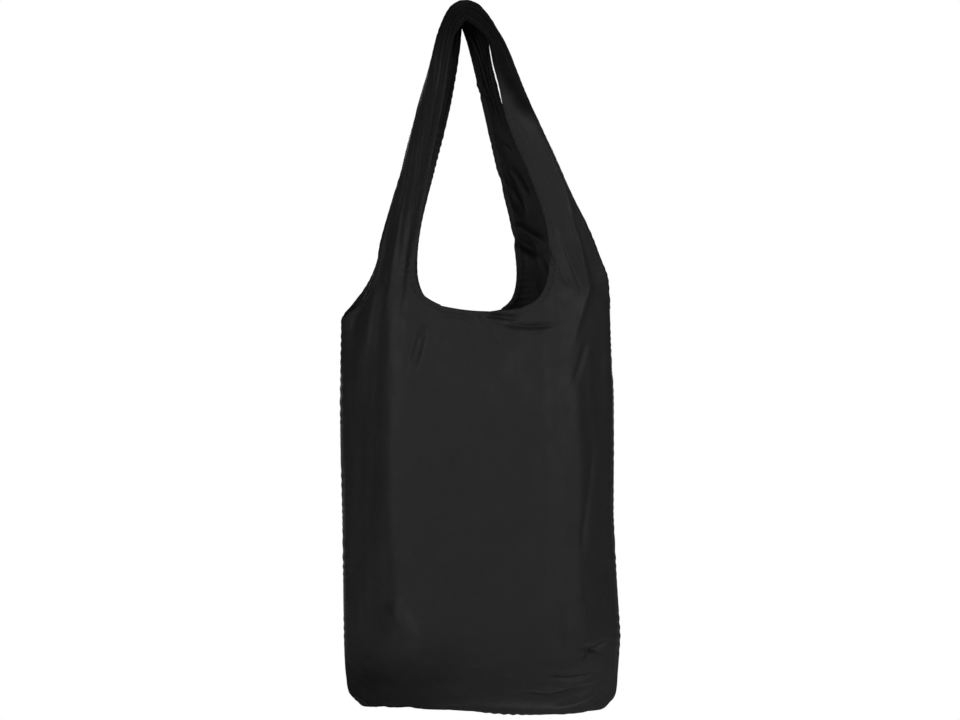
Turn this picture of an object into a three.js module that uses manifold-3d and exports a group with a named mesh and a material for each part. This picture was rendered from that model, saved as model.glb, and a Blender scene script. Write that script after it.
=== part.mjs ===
// Foldable shopping tote: two thin cloth panels sewn together at the sides and the bottom, each
// with a loop handle cut in one with it, and a small storage pouch sewn inside the neckline.
// Millimetres, +Z up, the front faces -Y. The bag hangs filled out, and the origin is the
// underside of the two handles where they meet over the hand or hook that holds them.
import * as THREE from "three";
import { mergeVertices } from "three/addons/utils/BufferGeometryUtils.js";
import Module from "manifold-3d";

const wasm = await Module();
wasm.setup();

// ---- driving dimensions ----
const WALL = 2; // stands for thin cloth
const SEAM_GAP = 0.35; // between pieces that are sewn together
const BINDING_RADIUS = 1.5;

const BODY_SHIFT = 15; // the load hangs a little to the right of the grip
const HALF_WIDTH = 146;
const HALF_DEPTH = 57;
const SQUARENESS = 2.6; // exponent of the body's rounded plan section
const BOTTOM_Z = -735;
const BOTTOM_CORNER = 22; // radius of the body's lower corners, seen from the front
const BOTTOM_TUCK = 60; // height over which the depth closes to the bottom seam
const SEAM_HALF_DEPTH = 4;
const FULLEST_Z = -430; // above this height the panels lean in towards the handles
const BODY_TURNS = 48;
const BODY_ROWS = 22;
const TUCK_SHARE = 8 / BODY_ROWS; // of the body's rows, how many follow the tucked bottom

const FOLD_Z = -240; // where the handles fold over
const FOLD_HALF_DEPTH = 40;
const NECKLINE_Z = -303;
const NECK_CORNER = 32;
const ARMPIT_Z = -304;
const FRONT = { side: -1, neckHalf: 71, shoulderHalf: 118 };
const BACK = { side: 1, neckHalf: 56, shoulderHalf: 104 };

const STRAP_HALF_THICKNESS = 2.4;
const STRAP_TOP_HALF_WIDTH = 9.5;
const STRAP_TOP_HALF_THICKNESS = 4;
const STRAP_TOP_OFFSET = 5; // of each loop's middle from the plane between the two loops
const ARCH_RADIUS = 18; // of a loop's middle line over the grip
const TOP_SEAM_HALF = 3; // half the length of the seam that joins a loop's two straps
const BINDING_GAP = 0.8; // of a handle's bindings from its facetted edge

const SEAM_ALLOWANCE = 8;

const POUCH_WIDTH = 110;
const POUCH_HEIGHT = 80;
const POUCH_CORNER = 12;
const POUCH_CLOTH = 1.2;
const POUCH_ROOM = 6; // gap between the pouch's two layers
const POUCH_HEM = 14;
const POUCH_TOP_Z = NECKLINE_Z - 7;
const POUCH_BACK_Y = -40.6;
const SNAP_HOLE = 1.6;
const SNAP_SHANK = 1.2;

// ---- worked out from them ----
const ARCH_Z = 2 * BINDING_RADIUS + BINDING_GAP + STRAP_TOP_HALF_WIDTH - ARCH_RADIUS;
const SNAP_Z = POUCH_TOP_Z - POUCH_HEM / 2;
const POUCH_ROOM_Y = POUCH_BACK_Y + POUCH_CLOTH;
const POUCH_FRONT_Y = POUCH_ROOM_Y + POUCH_ROOM;
const POUCH_FACE_Y = POUCH_FRONT_Y + POUCH_CLOTH;

// ---- materials ----
const cloth = new THREE.MeshStandardMaterial({ color: 0x17181a, roughness: 0.6, metalness: 0 });
const binding = new THREE.MeshStandardMaterial({ color: 0x1b1c1e, roughness: 0.55, metalness: 0 });
const snapMetal = new THREE.MeshStandardMaterial({ color: 0x2a2b2e, roughness: 0.35, metalness: 0.9 });

// ---- solids: making, cutting and naming ----
function toSolid(geometry) {
  const bare = geometry.clone();
  bare.deleteAttribute("normal");
  bare.deleteAttribute("uv");
  const merged = mergeVertices(bare, 1e-4);
  const vertProperties = new Float32Array(merged.attributes.position.array);
  const triVerts = new Uint32Array(merged.index.array);
  return new wasm.Manifold(new wasm.Mesh({ numProp: 3, vertProperties, triVerts }));
}

function toGeometry(solid) {
  const mesh = solid.getMesh();
  const geometry = new THREE.BufferGeometry();
  geometry.setAttribute("position", new THREE.BufferAttribute(mesh.vertProperties, 3));
  geometry.setIndex(new THREE.BufferAttribute(mesh.triVerts, 1));
  geometry.computeVertexNormals();
  return geometry;
}

function box(low, high) {
  const size = high.map((value, axis) => value - low[axis]);
  const geometry = new THREE.BoxGeometry(...size);
  return geometry.translate(...low.map((value, axis) => value + size[axis] / 2));
}

function named(name, geometry, material) {
  const mesh = new THREE.Mesh(geometry, material);
  mesh.name = name;
  return mesh;
}

// A closed grid, round by up, whose every point is moved to place(turn, height, spread): turn runs
// round the grid, height from 0 at its lower cap to 1 at its upper cap, and spread is 0 at the
// middle of a cap and 1 everywhere else.
function loft(turns, steps, place) {
  const grid = new THREE.CylinderGeometry(1, 1, 1, turns, steps);
  const position = grid.attributes.position;
  for (let i = 0; i < position.count; i += 1) {
    const centre = Math.hypot(position.getX(i), position.getZ(i)) < 0.5;
    const turn = Math.atan2(position.getZ(i), position.getX(i));
    const point = place(turn, position.getY(i) + 0.5, centre ? 0 : 1);
    position.setXYZ(i, ...point);
  }
  return grid;
}

function outwardLoft(turns, steps, place) {
  const solid = toSolid(loft(turns, steps, place));
  if (solid.volume() > 0) return solid;
  return toSolid(loft(turns, steps, (turn, height, spread) => place(-turn, height, spread)));
}

const lerp = THREE.MathUtils.lerp;
const smoothstep = THREE.MathUtils.smoothstep;

// ---- the body's shape, and the same shape drawn in by inset all round ----
function halfWidthAt(z, inset = 0) {
  const rise = Math.min(Math.max(z - BOTTOM_Z - inset, 0), BOTTOM_CORNER);
  const cornerX = BOTTOM_CORNER - Math.sqrt(BOTTOM_CORNER ** 2 - (BOTTOM_CORNER - rise) ** 2);
  return HALF_WIDTH - inset - cornerX;
}

function halfDepthAt(z, inset = 0) {
  const lean = smoothstep(z, FULLEST_Z, FOLD_Z);
  const full = lerp(HALF_DEPTH, FOLD_HALF_DEPTH, lean);
  const rise = Math.min(Math.max(z - BOTTOM_Z - inset, 0) / BOTTOM_TUCK, 1);
  return SEAM_HALF_DEPTH - inset + (full - SEAM_HALF_DEPTH) * Math.sqrt(1 - (1 - rise) ** 2);
}

function power(value, exponent) {
  return Math.sign(value) * Math.abs(value) ** exponent;
}

// The rows of the grid follow the rounding of the tucked bottom, then go up evenly.
function bodyHull(inset, topZ) {
  const lowZ = BOTTOM_Z + inset;
  return outwardLoft(BODY_TURNS, BODY_ROWS, (turn, height, spread) => {
    const tuck = Math.min(height / TUCK_SHARE, 1);
    const up = Math.max(height - TUCK_SHARE, 0) / (1 - TUCK_SHARE);
    const tuckZ = lowZ + BOTTOM_TUCK * (1 - Math.cos(tuck * Math.PI / 2));
    const z = lerp(tuckZ, topZ, up);
    const x = halfWidthAt(z, inset) * spread * power(Math.cos(turn), 2 / SQUARENESS);
    const y = halfDepthAt(z, inset) * spread * power(Math.sin(turn), 2 / SQUARENESS);
    return [x, y, z];
  });
}

// Depth of the cloth's middle surface at a place on a panel, counted from the middle plane.
function clothDepth(x, z) {
  const across = Math.min(Math.abs(x) / halfWidthAt(z, WALL / 2), 1);
  return halfDepthAt(z, WALL / 2) * (1 - across ** SQUARENESS) ** (1 / SQUARENESS);
}

// ---- openings cut in a panel, as outlines in the XZ plane ----
function neckPath(panel, grow, topZ) {
  const half = panel.neckHalf + grow;
  const low = NECKLINE_Z - grow;
  const corner = NECK_CORNER + grow;
  const path = new THREE.Path();
  path.moveTo(-half, topZ);
  path.lineTo(-half, low + corner);
  path.absarc(-half + corner, low + corner, corner, Math.PI, 1.5 * Math.PI, false);
  path.absarc(half - corner, low + corner, corner, 1.5 * Math.PI, 2 * Math.PI, false);
  path.lineTo(half, topZ);
  return path;
}

function armholeCurve(panel, grow) {
  return new THREE.QuadraticBezierCurve(
    new THREE.Vector2(panel.shoulderHalf - grow, FOLD_Z),
    new THREE.Vector2(panel.shoulderHalf + 9 - grow, ARMPIT_Z + 12 - grow),
    new THREE.Vector2(HALF_WIDTH, ARMPIT_Z - grow),
  );
}

function cutter(outline, side) {
  const deep = 2 * HALF_DEPTH;
  const settings = { depth: deep, bevelEnabled: false };
  const geometry = new THREE.ExtrudeGeometry(new THREE.Shape(outline), settings).rotateX(Math.PI / 2);
  return toSolid(side < 0 ? geometry : geometry.translate(0, deep, 0));
}

function panelSolid(panel, shell) {
  const cut = BINDING_RADIUS + SEAM_GAP;
  const above = FOLD_Z + 40;
  const neck = neckPath(panel, cut, above).getPoints(8);
  let solid = shell.subtract(cutter(neck, panel.side));
  const edge = armholeCurve(panel, cut).getPoints(10);
  for (const hand of [-1, 1]) {
    const armhole = edge.map((point) => new THREE.Vector2(hand * point.x, point.y));
    armhole.unshift(new THREE.Vector2(hand * edge[0].x, above));
    armhole.push(new THREE.Vector2(hand * 2 * HALF_WIDTH, ARMPIT_Z - cut));
    armhole.push(new THREE.Vector2(hand * 2 * HALF_WIDTH, above));
    solid = solid.subtract(cutter(armhole, panel.side));
  }
  const wide = 2 * HALF_WIDTH;
  const near = panel.side < 0 ? -wide : SEAM_GAP / 2;
  const far = panel.side < 0 ? -SEAM_GAP / 2 : wide;
  return solid.intersect(toSolid(box([-wide, near, BOTTOM_Z - 5], [wide, far, FOLD_Z - SEAM_GAP])));
}

// ---- bindings: a thin folded tape, drawn as a round cord along the edge it covers ----
function tape(name, points, steps, radius = BINDING_RADIUS) {
  const curve = new THREE.CatmullRomCurve3(points);
  const section = new THREE.Shape();
  section.absarc(0, 0, radius, 0, 2 * Math.PI, false);
  const settings = { steps, extrudePath: curve, curveSegments: 3, bevelEnabled: false };
  return named(name, new THREE.ExtrudeGeometry(section, settings), binding);
}

function neckBinding(name, panel) {
  const flat = neckPath(panel, 0, FOLD_Z - SEAM_GAP).getSpacedPoints(40);
  const points = flat.map((p) => new THREE.Vector3(p.x, panel.side * clothDepth(p.x, p.y), p.y));
  return tape(name, points, 44);
}

function armholeBinding(name, hand) {
  const half = (panel) => armholeCurve(panel, 0).getPoints(12).map((p) => {
    const z = Math.min(p.y, FOLD_Z - SEAM_GAP);
    return new THREE.Vector3(hand * p.x, panel.side * clothDepth(p.x, z), z);
  });
  const points = [...half(FRONT), ...half(BACK).reverse().slice(1)];
  return tape(name, points, 30);
}

// ---- seams inside the bag: the panels' joined edges, turned in ----
function sideSeam(name, hand) {
  const outer = HALF_WIDTH - WALL - SEAM_GAP;
  const low = [hand < 0 ? -outer : outer - SEAM_ALLOWANCE, -WALL / 2, BOTTOM_Z + BOTTOM_CORNER + 2];
  const high = [hand < 0 ? -outer + SEAM_ALLOWANCE : outer, WALL / 2, ARMPIT_Z - 6];
  return named(name, box(low, high), cloth);
}

function bottomSeam() {
  const half = HALF_WIDTH - BOTTOM_CORNER - 2;
  const low = BOTTOM_Z + WALL + SEAM_GAP;
  return named("bottom_seam", box([-half, -WALL / 2, low], [half, WALL / 2, low + SEAM_ALLOWANCE]), cloth);
}

// ---- handles ----
// The loop's middle line seen from the front: up the left leg, over the arch, down the right leg.
function loopCurve(panel) {
  const footX = (panel.neckHalf + panel.shoulderHalf) / 2;
  const archTurns = [8, 32, 60].map(THREE.MathUtils.degToRad);
  const leg = (hand) => {
    const straight = [0, 0.25, 0.5, 0.75].map((rise) => {
      const x = lerp(BODY_SHIFT + hand * footX, hand * ARCH_RADIUS, rise);
      return new THREE.Vector2(x, lerp(FOLD_Z, ARCH_Z, rise));
    });
    const arch = archTurns.map((turn) => {
      const x = hand * ARCH_RADIUS * Math.cos(turn);
      return new THREE.Vector2(x, ARCH_Z + ARCH_RADIUS * Math.sin(turn));
    });
    return [...straight, ...arch];
  };
  const top = new THREE.Vector2(0, ARCH_Z + ARCH_RADIUS);
  const line = new THREE.SplineCurve([...leg(-1), top, ...leg(1).reverse()]);
  line.arcLengthDivisions = 800;
  return line;
}

const footHalfWidth = (panel) => (panel.shoulderHalf - panel.neckHalf) / 2 - BINDING_RADIUS - BINDING_GAP;

// A point of a handle. along runs from 0 at the left fold to 1 at the right one, across from -1 at
// the loop's inner edge to 1 at its outer edge plus extra millimetres, and thick is off the middle.
function handlePoint(panel, line, along, across, extra, thick) {
  const rise = Math.min(along, 1 - along) * 2;
  const hand = along < 0.5 ? -1 : 1;
  const middle = line.getPointAt(along);
  const tangent = line.getTangentAt(along);
  const half = lerp(footHalfWidth(panel), STRAP_TOP_HALF_WIDTH, 1 - (1 - rise) ** 2);
  const reach = across * half + extra;
  const level = smoothstep(rise, 0, 0.12);
  const out = new THREE.Vector2(lerp(hand, -tangent.y, level), tangent.x * level).normalize();
  const footX = (panel.neckHalf + panel.shoulderHalf) / 2 + across * footHalfWidth(panel) + extra;
  const footY = clothDepth(footX, FOLD_Z);
  const y = panel.side * (lerp(footY, STRAP_TOP_OFFSET, rise ** 0.8) + thick);
  return [middle.x + out.x * reach, y, middle.y + out.y * reach];
}

function strapPiece(name, panel, steps, alongAt) {
  const line = loopCurve(panel);
  const solid = outwardLoft(12, steps, (turn, height, spread) => {
    const along = alongAt(height);
    const rise = Math.min(along, 1 - along) * 2;
    const halfThick = lerp(STRAP_HALF_THICKNESS, STRAP_TOP_HALF_THICKNESS, rise);
    const across = spread * power(Math.cos(turn), 0.8);
    const point = handlePoint(panel, line, along, across, 0, spread * halfThick * Math.sin(turn));
    return [point[0], point[1], Math.max(point[2], FOLD_Z + SEAM_GAP)];
  });
  return named(name, toGeometry(solid), cloth);
}

function handleBinding(name, panel, edge) {
  const line = loopCurve(panel);
  const inset = 1.2 / line.getLength();
  const points = [];
  for (let i = 0; i <= 44; i += 1) {
    const along = lerp(inset, 1 - inset, i / 44);
    const extra = edge * (BINDING_RADIUS + BINDING_GAP);
    points.push(new THREE.Vector3(...handlePoint(panel, line, along, edge, extra, 0)));
  }
  return tape(name, points, 48);
}

function handle(name, panel) {
  const length = loopCurve(panel).getLength();
  const seam = TOP_SEAM_HALF / length;
  const end = (TOP_SEAM_HALF + SEAM_GAP) / length;
  const crowded = (height) => (0.5 - end) * (1 - (1 - height) ** 1.8); // towards the arch
  return [
    strapPiece(`${name}_left_strap`, panel, 20, crowded),
    strapPiece(`${name}_right_strap`, panel, 20, (height) => 1 - crowded(height)),
    strapPiece(`${name}_top_seam`, panel, 2, (height) => lerp(0.5 - seam, 0.5 + seam, height)),
    handleBinding(`${name}_inner_binding`, panel, -1),
    handleBinding(`${name}_outer_binding`, panel, 1),
  ];
}

// ---- storage pouch: hangs inside the neckline by its back layer ----
function pouchOutline(inset, top) {
  const half = POUCH_WIDTH / 2 - inset;
  const low = POUCH_TOP_Z - POUCH_HEIGHT + inset;
  const corner = POUCH_CORNER - inset;
  const shape = new THREE.Shape();
  shape.moveTo(-half, top);
  shape.lineTo(-half, low + corner);
  shape.absarc(-half + corner, low + corner, corner, Math.PI, 1.5 * Math.PI, false);
  shape.absarc(half - corner, low + corner, corner, 1.5 * Math.PI, 2 * Math.PI, false);
  shape.lineTo(half, top);
  return shape;
}

function slab(shape, nearY, farY) {
  const settings = { depth: farY - nearY, bevelEnabled: false, curveSegments: 6 };
  return new THREE.ExtrudeGeometry(shape, settings).rotateX(Math.PI / 2).translate(0, farY, 0);
}

function hole(radius, z, nearY, farY) {
  const geometry = new THREE.CylinderGeometry(radius, radius, farY - nearY, 20);
  return toSolid(geometry.translate(0, (nearY + farY) / 2, z));
}

// The back layer is flat. The front layer is a shallow tray with a rim towards the back layer, and
// a folded hem across its open top.
function pouchPieces() {
  const trayTop = POUCH_TOP_Z - POUCH_HEM - SEAM_GAP;
  const back = toSolid(slab(pouchOutline(0, POUCH_TOP_Z), POUCH_BACK_Y, POUCH_ROOM_Y));
  const backHole = hole(SNAP_HOLE, SNAP_Z, POUCH_BACK_Y - 1, POUCH_ROOM_Y + 1);
  const outer = toSolid(slab(pouchOutline(0, trayTop), POUCH_ROOM_Y + SEAM_GAP, POUCH_FACE_Y));
  const inner = toSolid(slab(pouchOutline(POUCH_CLOTH, trayTop + 1), POUCH_ROOM_Y, POUCH_FRONT_Y));
  const half = POUCH_WIDTH / 2;
  const hemLow = [-half, POUCH_FRONT_Y, POUCH_TOP_Z - POUCH_HEM];
  const hem = toSolid(box(hemLow, [half, POUCH_FACE_Y, POUCH_TOP_Z]));
  const hemHole = hole(SNAP_HOLE, SNAP_Z, POUCH_FRONT_Y - 1, POUCH_FACE_Y + 1);
  return [
    named("pouch_back_layer", toGeometry(back.subtract(backHole)), cloth),
    named("pouch_front_layer", toGeometry(outer.subtract(inner)), cloth),
    named("pouch_mouth_hem", toGeometry(hem.subtract(hemHole)), binding),
  ];
}

// ---- press stud in the pouch's mouth ----
// A turned piece about a line along Y. Its outline gives radius and height off the cloth, and tip
// turns it over so that its height goes towards -Y.
function turned(name, outline, faceY, tip = 0) {
  const points = [...outline, outline[0]].map(([radius, height]) => new THREE.Vector2(radius, height));
  const geometry = new THREE.LatheGeometry(points, 20).rotateX(tip);
  const solid = toSolid(geometry.translate(0, faceY, SNAP_Z));
  return named(name, toGeometry(solid), snapMetal);
}

function snapPieces() {
  const shank = POUCH_CLOTH + 2 * SEAM_GAP;
  const cap = [[0, -shank], [SNAP_SHANK, -shank], [SNAP_SHANK, 0], [6, 0], [6.2, 0.5], [5, 1.4], [0, 1.9]];
  const socket = [[2.7, 0], [5.4, 0], [5.4, 1.6], [4.8, 2.2], [2.7, 2.2]];
  const stud = [[0, 0], [5.2, 0], [5.2, 0.7], [2.2, 1], [1.8, 2.4], [2.2, 3.1], [1.6, 3.6], [0, 3.7]];
  const post = [[0, -shank], [SNAP_SHANK, -shank], [SNAP_SHANK, 0], [4.8, 0], [4.8, 0.6], [0, 0.9]];
  return [
    turned("snap_cap", cap, POUCH_FACE_Y + SEAM_GAP),
    turned("snap_socket", socket, POUCH_FRONT_Y - SEAM_GAP, Math.PI),
    turned("snap_stud", stud, POUCH_ROOM_Y + 2 * SEAM_GAP),
    turned("snap_post", post, POUCH_BACK_Y - SEAM_GAP, Math.PI),
  ];
}

// ---- the bag, put together ----
const shell = bodyHull(0, FOLD_Z + 20).subtract(bodyHull(WALL, FOLD_Z + 30));

const body = new THREE.Group();
body.position.x = BODY_SHIFT;
body.add(
  named("front_panel", toGeometry(panelSolid(FRONT, shell)), cloth),
  named("back_panel", toGeometry(panelSolid(BACK, shell)), cloth),
  sideSeam("left_side_seam", -1),
  sideSeam("right_side_seam", 1),
  bottomSeam(),
  neckBinding("front_neck_binding", FRONT),
  neckBinding("back_neck_binding", BACK),
  armholeBinding("left_armhole_binding", -1),
  armholeBinding("right_armhole_binding", 1),
  ...pouchPieces(),
  ...snapPieces(),
);

const bag = new THREE.Group();
bag.add(body, ...handle("front_handle", FRONT), ...handle("back_handle", BACK));

export default bag;
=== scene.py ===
# A black foldable shopping tote of thin taffeta, hanging filled out from its two loop handles.
# Each panel is one cloth: a body, two straps cut in one with it, and the loop where they meet.
# Metres, +Z up, the front faces -Y, and the origin is under the handles.
import math

import bmesh
import bpy
import numpy as np
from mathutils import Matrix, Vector
from mathutils.bvhtree import BVHTree


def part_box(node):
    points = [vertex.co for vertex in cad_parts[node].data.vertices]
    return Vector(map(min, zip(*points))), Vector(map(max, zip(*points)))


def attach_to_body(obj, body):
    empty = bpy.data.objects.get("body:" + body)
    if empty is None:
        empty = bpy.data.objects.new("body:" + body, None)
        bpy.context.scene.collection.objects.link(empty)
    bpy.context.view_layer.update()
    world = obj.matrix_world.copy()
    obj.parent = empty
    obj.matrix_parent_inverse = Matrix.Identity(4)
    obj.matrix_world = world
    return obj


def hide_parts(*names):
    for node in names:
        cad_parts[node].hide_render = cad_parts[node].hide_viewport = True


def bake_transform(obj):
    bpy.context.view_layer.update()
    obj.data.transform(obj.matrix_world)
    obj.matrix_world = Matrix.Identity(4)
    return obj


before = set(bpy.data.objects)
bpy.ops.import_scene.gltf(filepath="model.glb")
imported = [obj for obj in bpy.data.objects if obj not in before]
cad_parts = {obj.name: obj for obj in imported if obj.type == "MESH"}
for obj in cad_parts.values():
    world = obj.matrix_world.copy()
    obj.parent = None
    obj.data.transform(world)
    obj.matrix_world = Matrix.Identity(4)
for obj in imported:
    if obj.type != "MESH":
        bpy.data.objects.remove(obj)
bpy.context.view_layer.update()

MM = 0.001
RANDOM = np.random.default_rng(7)

# ---- the body's size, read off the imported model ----
front_low, front_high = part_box("front_panel")
BODY_X = (front_low.x + front_high.x) / 2
HALF_WIDTH = (front_high.x - front_low.x) / 2
HALF_DEPTH = -front_low.y
BOTTOM_Z = front_low.z
FOLD_Z = front_high.z
FACE_LEFT = 0.67  # of the half width, from the middle to each side of the front's flat face
FACE_RIGHT = 0.66
BACK_LEFT_LESS = 0.07  # the back's flat face is narrower by these shares
BACK_RIGHT_LESS = 0.05
FACE_SWAY = 2.5 * MM  # the face's sides wander this far as they go up
SWAY_RATE = 29
TUCK = 95 * MM  # height over which the bottom curves in to its seam
TUCK_ROUND = 0.4  # share of a quarter circle in that curve; the rest is a quarter sine
LOWER_CORNER = 22 * MM
FULLEST_Z = -0.430
SHOULDER_HALF_DEPTH = 40 * MM

# ---- grid of one panel ----
EDGE_COLUMNS = 24
MIDDLE_COLUMNS = 18
TUCK_ROWS = 22
BODY_ROWS = 84
STRAP_ROWS = 66

# ---- edges of the straps, seen from the front: (x, z) in millimetres, from the body up ----
APEX_INNER = (0, 4)
APEX_OUTER = (3, 27)
FRONT = {
    "side": -1,
    "name": "front",
    "left_outer": [(-133, -312), (-120, -298), (-109, -281), (-101, -264), (-87, -215), (-67, -151),
                   (-47, -75), (-36, -36), (-26, -2), (-14, 20), (-4, 26), APEX_OUTER],
    "left_inner": [(-29, -298), (-48, -287), (-57, -269), (-53, -215), (-41, -151),
                   (-25.5, -75), (-12.5, -13), APEX_INNER],
    "right_inner": [(57, -300), (74, -291), (85, -270), (83, -215), (62, -151), (49, -122),
                    (39.5, -96), (33.5, -66), (28.5, -46), (21, -13), APEX_INNER],
    "right_outer": [(160, -296), (156, -283), (151, -262), (129, -215), (98, -151),
                    (66, -75), (41, -12), (23, 15), (12, 25), APEX_OUTER],
    "neckline_sag": 4,
}
BACK = {
    "side": 1,
    "name": "back",
    "left_outer": [(-133, -312), (-116, -290), (-99, -264), (-76, -215), (-55, -151),
                   (-33, -75), (-22, -20), (-12, 15), (-4, 25), APEX_OUTER],
    "left_inner": [(-22, -298), (-38, -287), (-46, -266), (-42, -215), (-27, -151),
                   (-8.5, -75), (-0.5, -13), APEX_INNER],
    "right_inner": [(46, -300), (58, -289), (64, -266), (58, -215), (41, -151),
                    (22, -75), (6, -13), APEX_INNER],
    "right_outer": [(160, -296), (150, -283), (138, -260), (112, -215), (83, -151), (69, -125),
                    (60, -110), (50.5, -96), (45, -82), (39.5, -64), (34, -45), (31, -30),
                    (28, -10), (19, 15), (11, 24), APEX_OUTER],
    "neckline_sag": 4,
}
STRAP_TOP_Y = 9 * MM
STRAP_STARTS = (-0.290, -0.215)  # between these heights the body's surface turns into the strap's


def smooth(value, low, high):
    """0 below low, 1 above high, and an S-curve between them."""
    share = np.clip((np.asarray(value, float) - low) / (high - low), 0, 1)
    return share * share * (3 - 2 * share)


def mix(a, b, share):
    return a + (b - a) * share


# ---- curves ----
def distances(line):
    """How far along a line each of its points is, or along each column of a grid of points."""
    steps = np.linalg.norm(np.diff(line, axis=0), axis=-1)
    return np.pad(np.cumsum(steps, axis=0), [(1, 0)] + [(0, 0)] * (steps.ndim - 1))


def length_of(line):
    return np.linalg.norm(np.diff(line, axis=0), axis=1).sum()


def unit_rows(vectors):
    return vectors / np.linalg.norm(vectors, axis=1, keepdims=True)


def spline(points, count):
    """count points evenly spaced along a smooth curve through the given ones."""
    p = np.array(points, float)
    knots = np.concatenate([[0], np.cumsum(np.linalg.norm(np.diff(p, axis=0), axis=1) ** 0.5)])
    slopes = np.gradient(p, knots, axis=0)
    fine = np.linspace(0, knots[-1], 60 * len(p))
    cell = np.clip(np.searchsorted(knots, fine, side="right") - 1, 0, len(p) - 2)
    step = (knots[cell + 1] - knots[cell])[:, None]
    t = (fine - knots[cell])[:, None] / step
    curve = ((2 * t ** 3 - 3 * t ** 2 + 1) * p[cell] + (t ** 3 - 2 * t ** 2 + t) * step * slopes[cell]
             + (3 * t ** 2 - 2 * t ** 3) * p[cell + 1] + (t ** 3 - t ** 2) * step * slopes[cell + 1])
    return resample(curve, count)


def resample(line, count):
    """count points evenly spaced along a polyline."""
    along = distances(line)
    wanted = np.linspace(0, along[-1], count)
    return np.stack([np.interp(wanted, along, line[:, axis]) for axis in range(line.shape[1])], axis=1)


# ---- the body's surface ----
# The load bulges the lower right side out and draws the left one in: height, left x, right x.
SIDE_LINES = np.array([
    (-760, -125, 166), (-700, -127, 168), (-650, -128, 170), (-590, -127.5, 166),
    (-520, -128.5, 162.5), (-450, -131, 163), (-400, -132, 163), (-296, -133, 161), (0, -133, 160),
]) * MM


# The bottom seam, from left to right: places in metres, and its height there in millimetres.
BOTTOM_PLACES = [-0.130, -0.080, -0.050, -0.020, 0.010, 0.040, 0.074, 0.110, 0.140]
BOTTOM_LEVELS = [-729, -728.5, -725.5, -723, -724, -731, -740, -745, -746]


def bottom_at(x):
    """Height of the bottom seam, which hangs a little lower on the right."""
    return np.interp(x, BOTTOM_PLACES, BOTTOM_LEVELS) * MM


def sides_at(z):
    left = np.interp(z, SIDE_LINES[:, 0], SIDE_LINES[:, 1])
    right = np.interp(z, SIDE_LINES[:, 0], SIDE_LINES[:, 2])
    return (left + right) / 2, (right - left) / 2


def corner_inset(rise, radius):
    """How far in from its side a rounded corner is, at a height above the bottom."""
    rise = np.clip(rise, 0, radius)
    return radius - math.sqrt(radius ** 2 - (radius - rise) ** 2)


# Corners of one panel's plan, between its side seams. Depths are shares of the bag's half depth there.
BESIDE_SEAM = 5 * MM
LEFT_SEAM_DEPTH = 0.2
RIGHT_SEAM_DEPTH = 0.24
LEFT_CORNER_DEPTH = 0.95
LOW_CORNER_DEPTH = 0.5  # at the front's lower left, where the load leaves the corner empty
LOW_CORNER_RISE = (8 * MM, 92 * MM)  # and the heights above the seam between which it fills out
CROWN = [(-20, 1.02), (12, 1.02)]  # millimetres from the middle, and depth
RIGHT_CORNER = [(-34, 1.0), (-12, 0.94), (6, 0.82)]  # millimetres from the face's right side, and depth
RIGHT_SLANT_DEPTH = 0.56


def panel_corners(side, z, low):
    """Corners of the bag's plan on one panel: a flat face over the load, and a slanted one each side."""
    centre, half = sides_at(z)
    half = half - corner_inset(z - low, LOWER_CORNER)
    up = min(max((z - low) / TUCK, 0), 1)
    tuck = TUCK_ROUND * math.sqrt(1 - (1 - up) ** 2) + (1 - TUCK_ROUND) * math.sin(up * math.pi / 2)
    deep = side * mix(HALF_DEPTH, SHOULDER_HALF_DEPTH, float(smooth(z, FULLEST_Z, FOLD_Z))) * tuck
    sway = FACE_SWAY * math.sin(z * SWAY_RATE)
    left = centre - half * (FACE_LEFT if side < 0 else FACE_LEFT - BACK_LEFT_LESS) + sway
    right = centre + half * (FACE_RIGHT if side < 0 else FACE_RIGHT - BACK_RIGHT_LESS) - sway
    left_depth = LEFT_CORNER_DEPTH
    if side < 0:
        left_depth = mix(LOW_CORNER_DEPTH, LEFT_CORNER_DEPTH, float(smooth(z - low, *LOW_CORNER_RISE)))
    corners = [(centre - half, 0), (centre - half + BESIDE_SEAM, LEFT_SEAM_DEPTH * deep)]
    corners += [(left, left_depth * deep)]
    corners += [(centre + x * MM, depth * deep) for x, depth in CROWN]
    corners += [(right + x * MM, depth * deep) for x, depth in RIGHT_CORNER]
    corners += [(0.5 * (right + centre + half), RIGHT_SLANT_DEPTH * deep)]
    return corners + [(centre + half - BESIDE_SEAM, RIGHT_SEAM_DEPTH * deep), (centre + half, 0)]


CORNER_CUTS = (0.10, 0.2, 0.25, 0.25)  # how much of each side every round of corner cutting takes
SECTION_POINTS = 160
NO_TUCK = -1.0  # stands for a bottom so far down that the tuck is left out


def rounded(corners, count):
    """An open outline with its corners rounded off by repeated corner cutting."""
    line = np.array(corners, float)
    for share in CORNER_CUTS:
        cut = np.stack([mix(line[:-1], line[1:], share), mix(line[:-1], line[1:], 1 - share)], axis=1)
        line = np.concatenate([line[:1], cut.reshape(-1, 2)[1:-1], line[-1:]])
    return resample(line, count)


def section_table(side, z, low):
    line = rounded(panel_corners(side, z, low), SECTION_POINTS)
    return line[:, 0], line[:, 1], np.linspace(0, 1, len(line))


def body_point(side, share, z, low):
    """The point at that share of the way round the panel, from the left seam to the right one."""
    x, y, along = section_table(side, z, low)
    return [np.interp(share, along, x), np.interp(share, along, y), z]


def share_at(side, x, z):
    """How far round the panel a place is, above the tucked bottom."""
    table_x, _, along = section_table(side, z, NO_TUCK)
    return np.interp(x, table_x, along)


# ---- the straps ----
LEAN_HEIGHT = 0.240  # below the apex, where the straps are as far apart as the shoulders
LEAN_MOST = 1.3
LEAN_CURVE = 0.9


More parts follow.
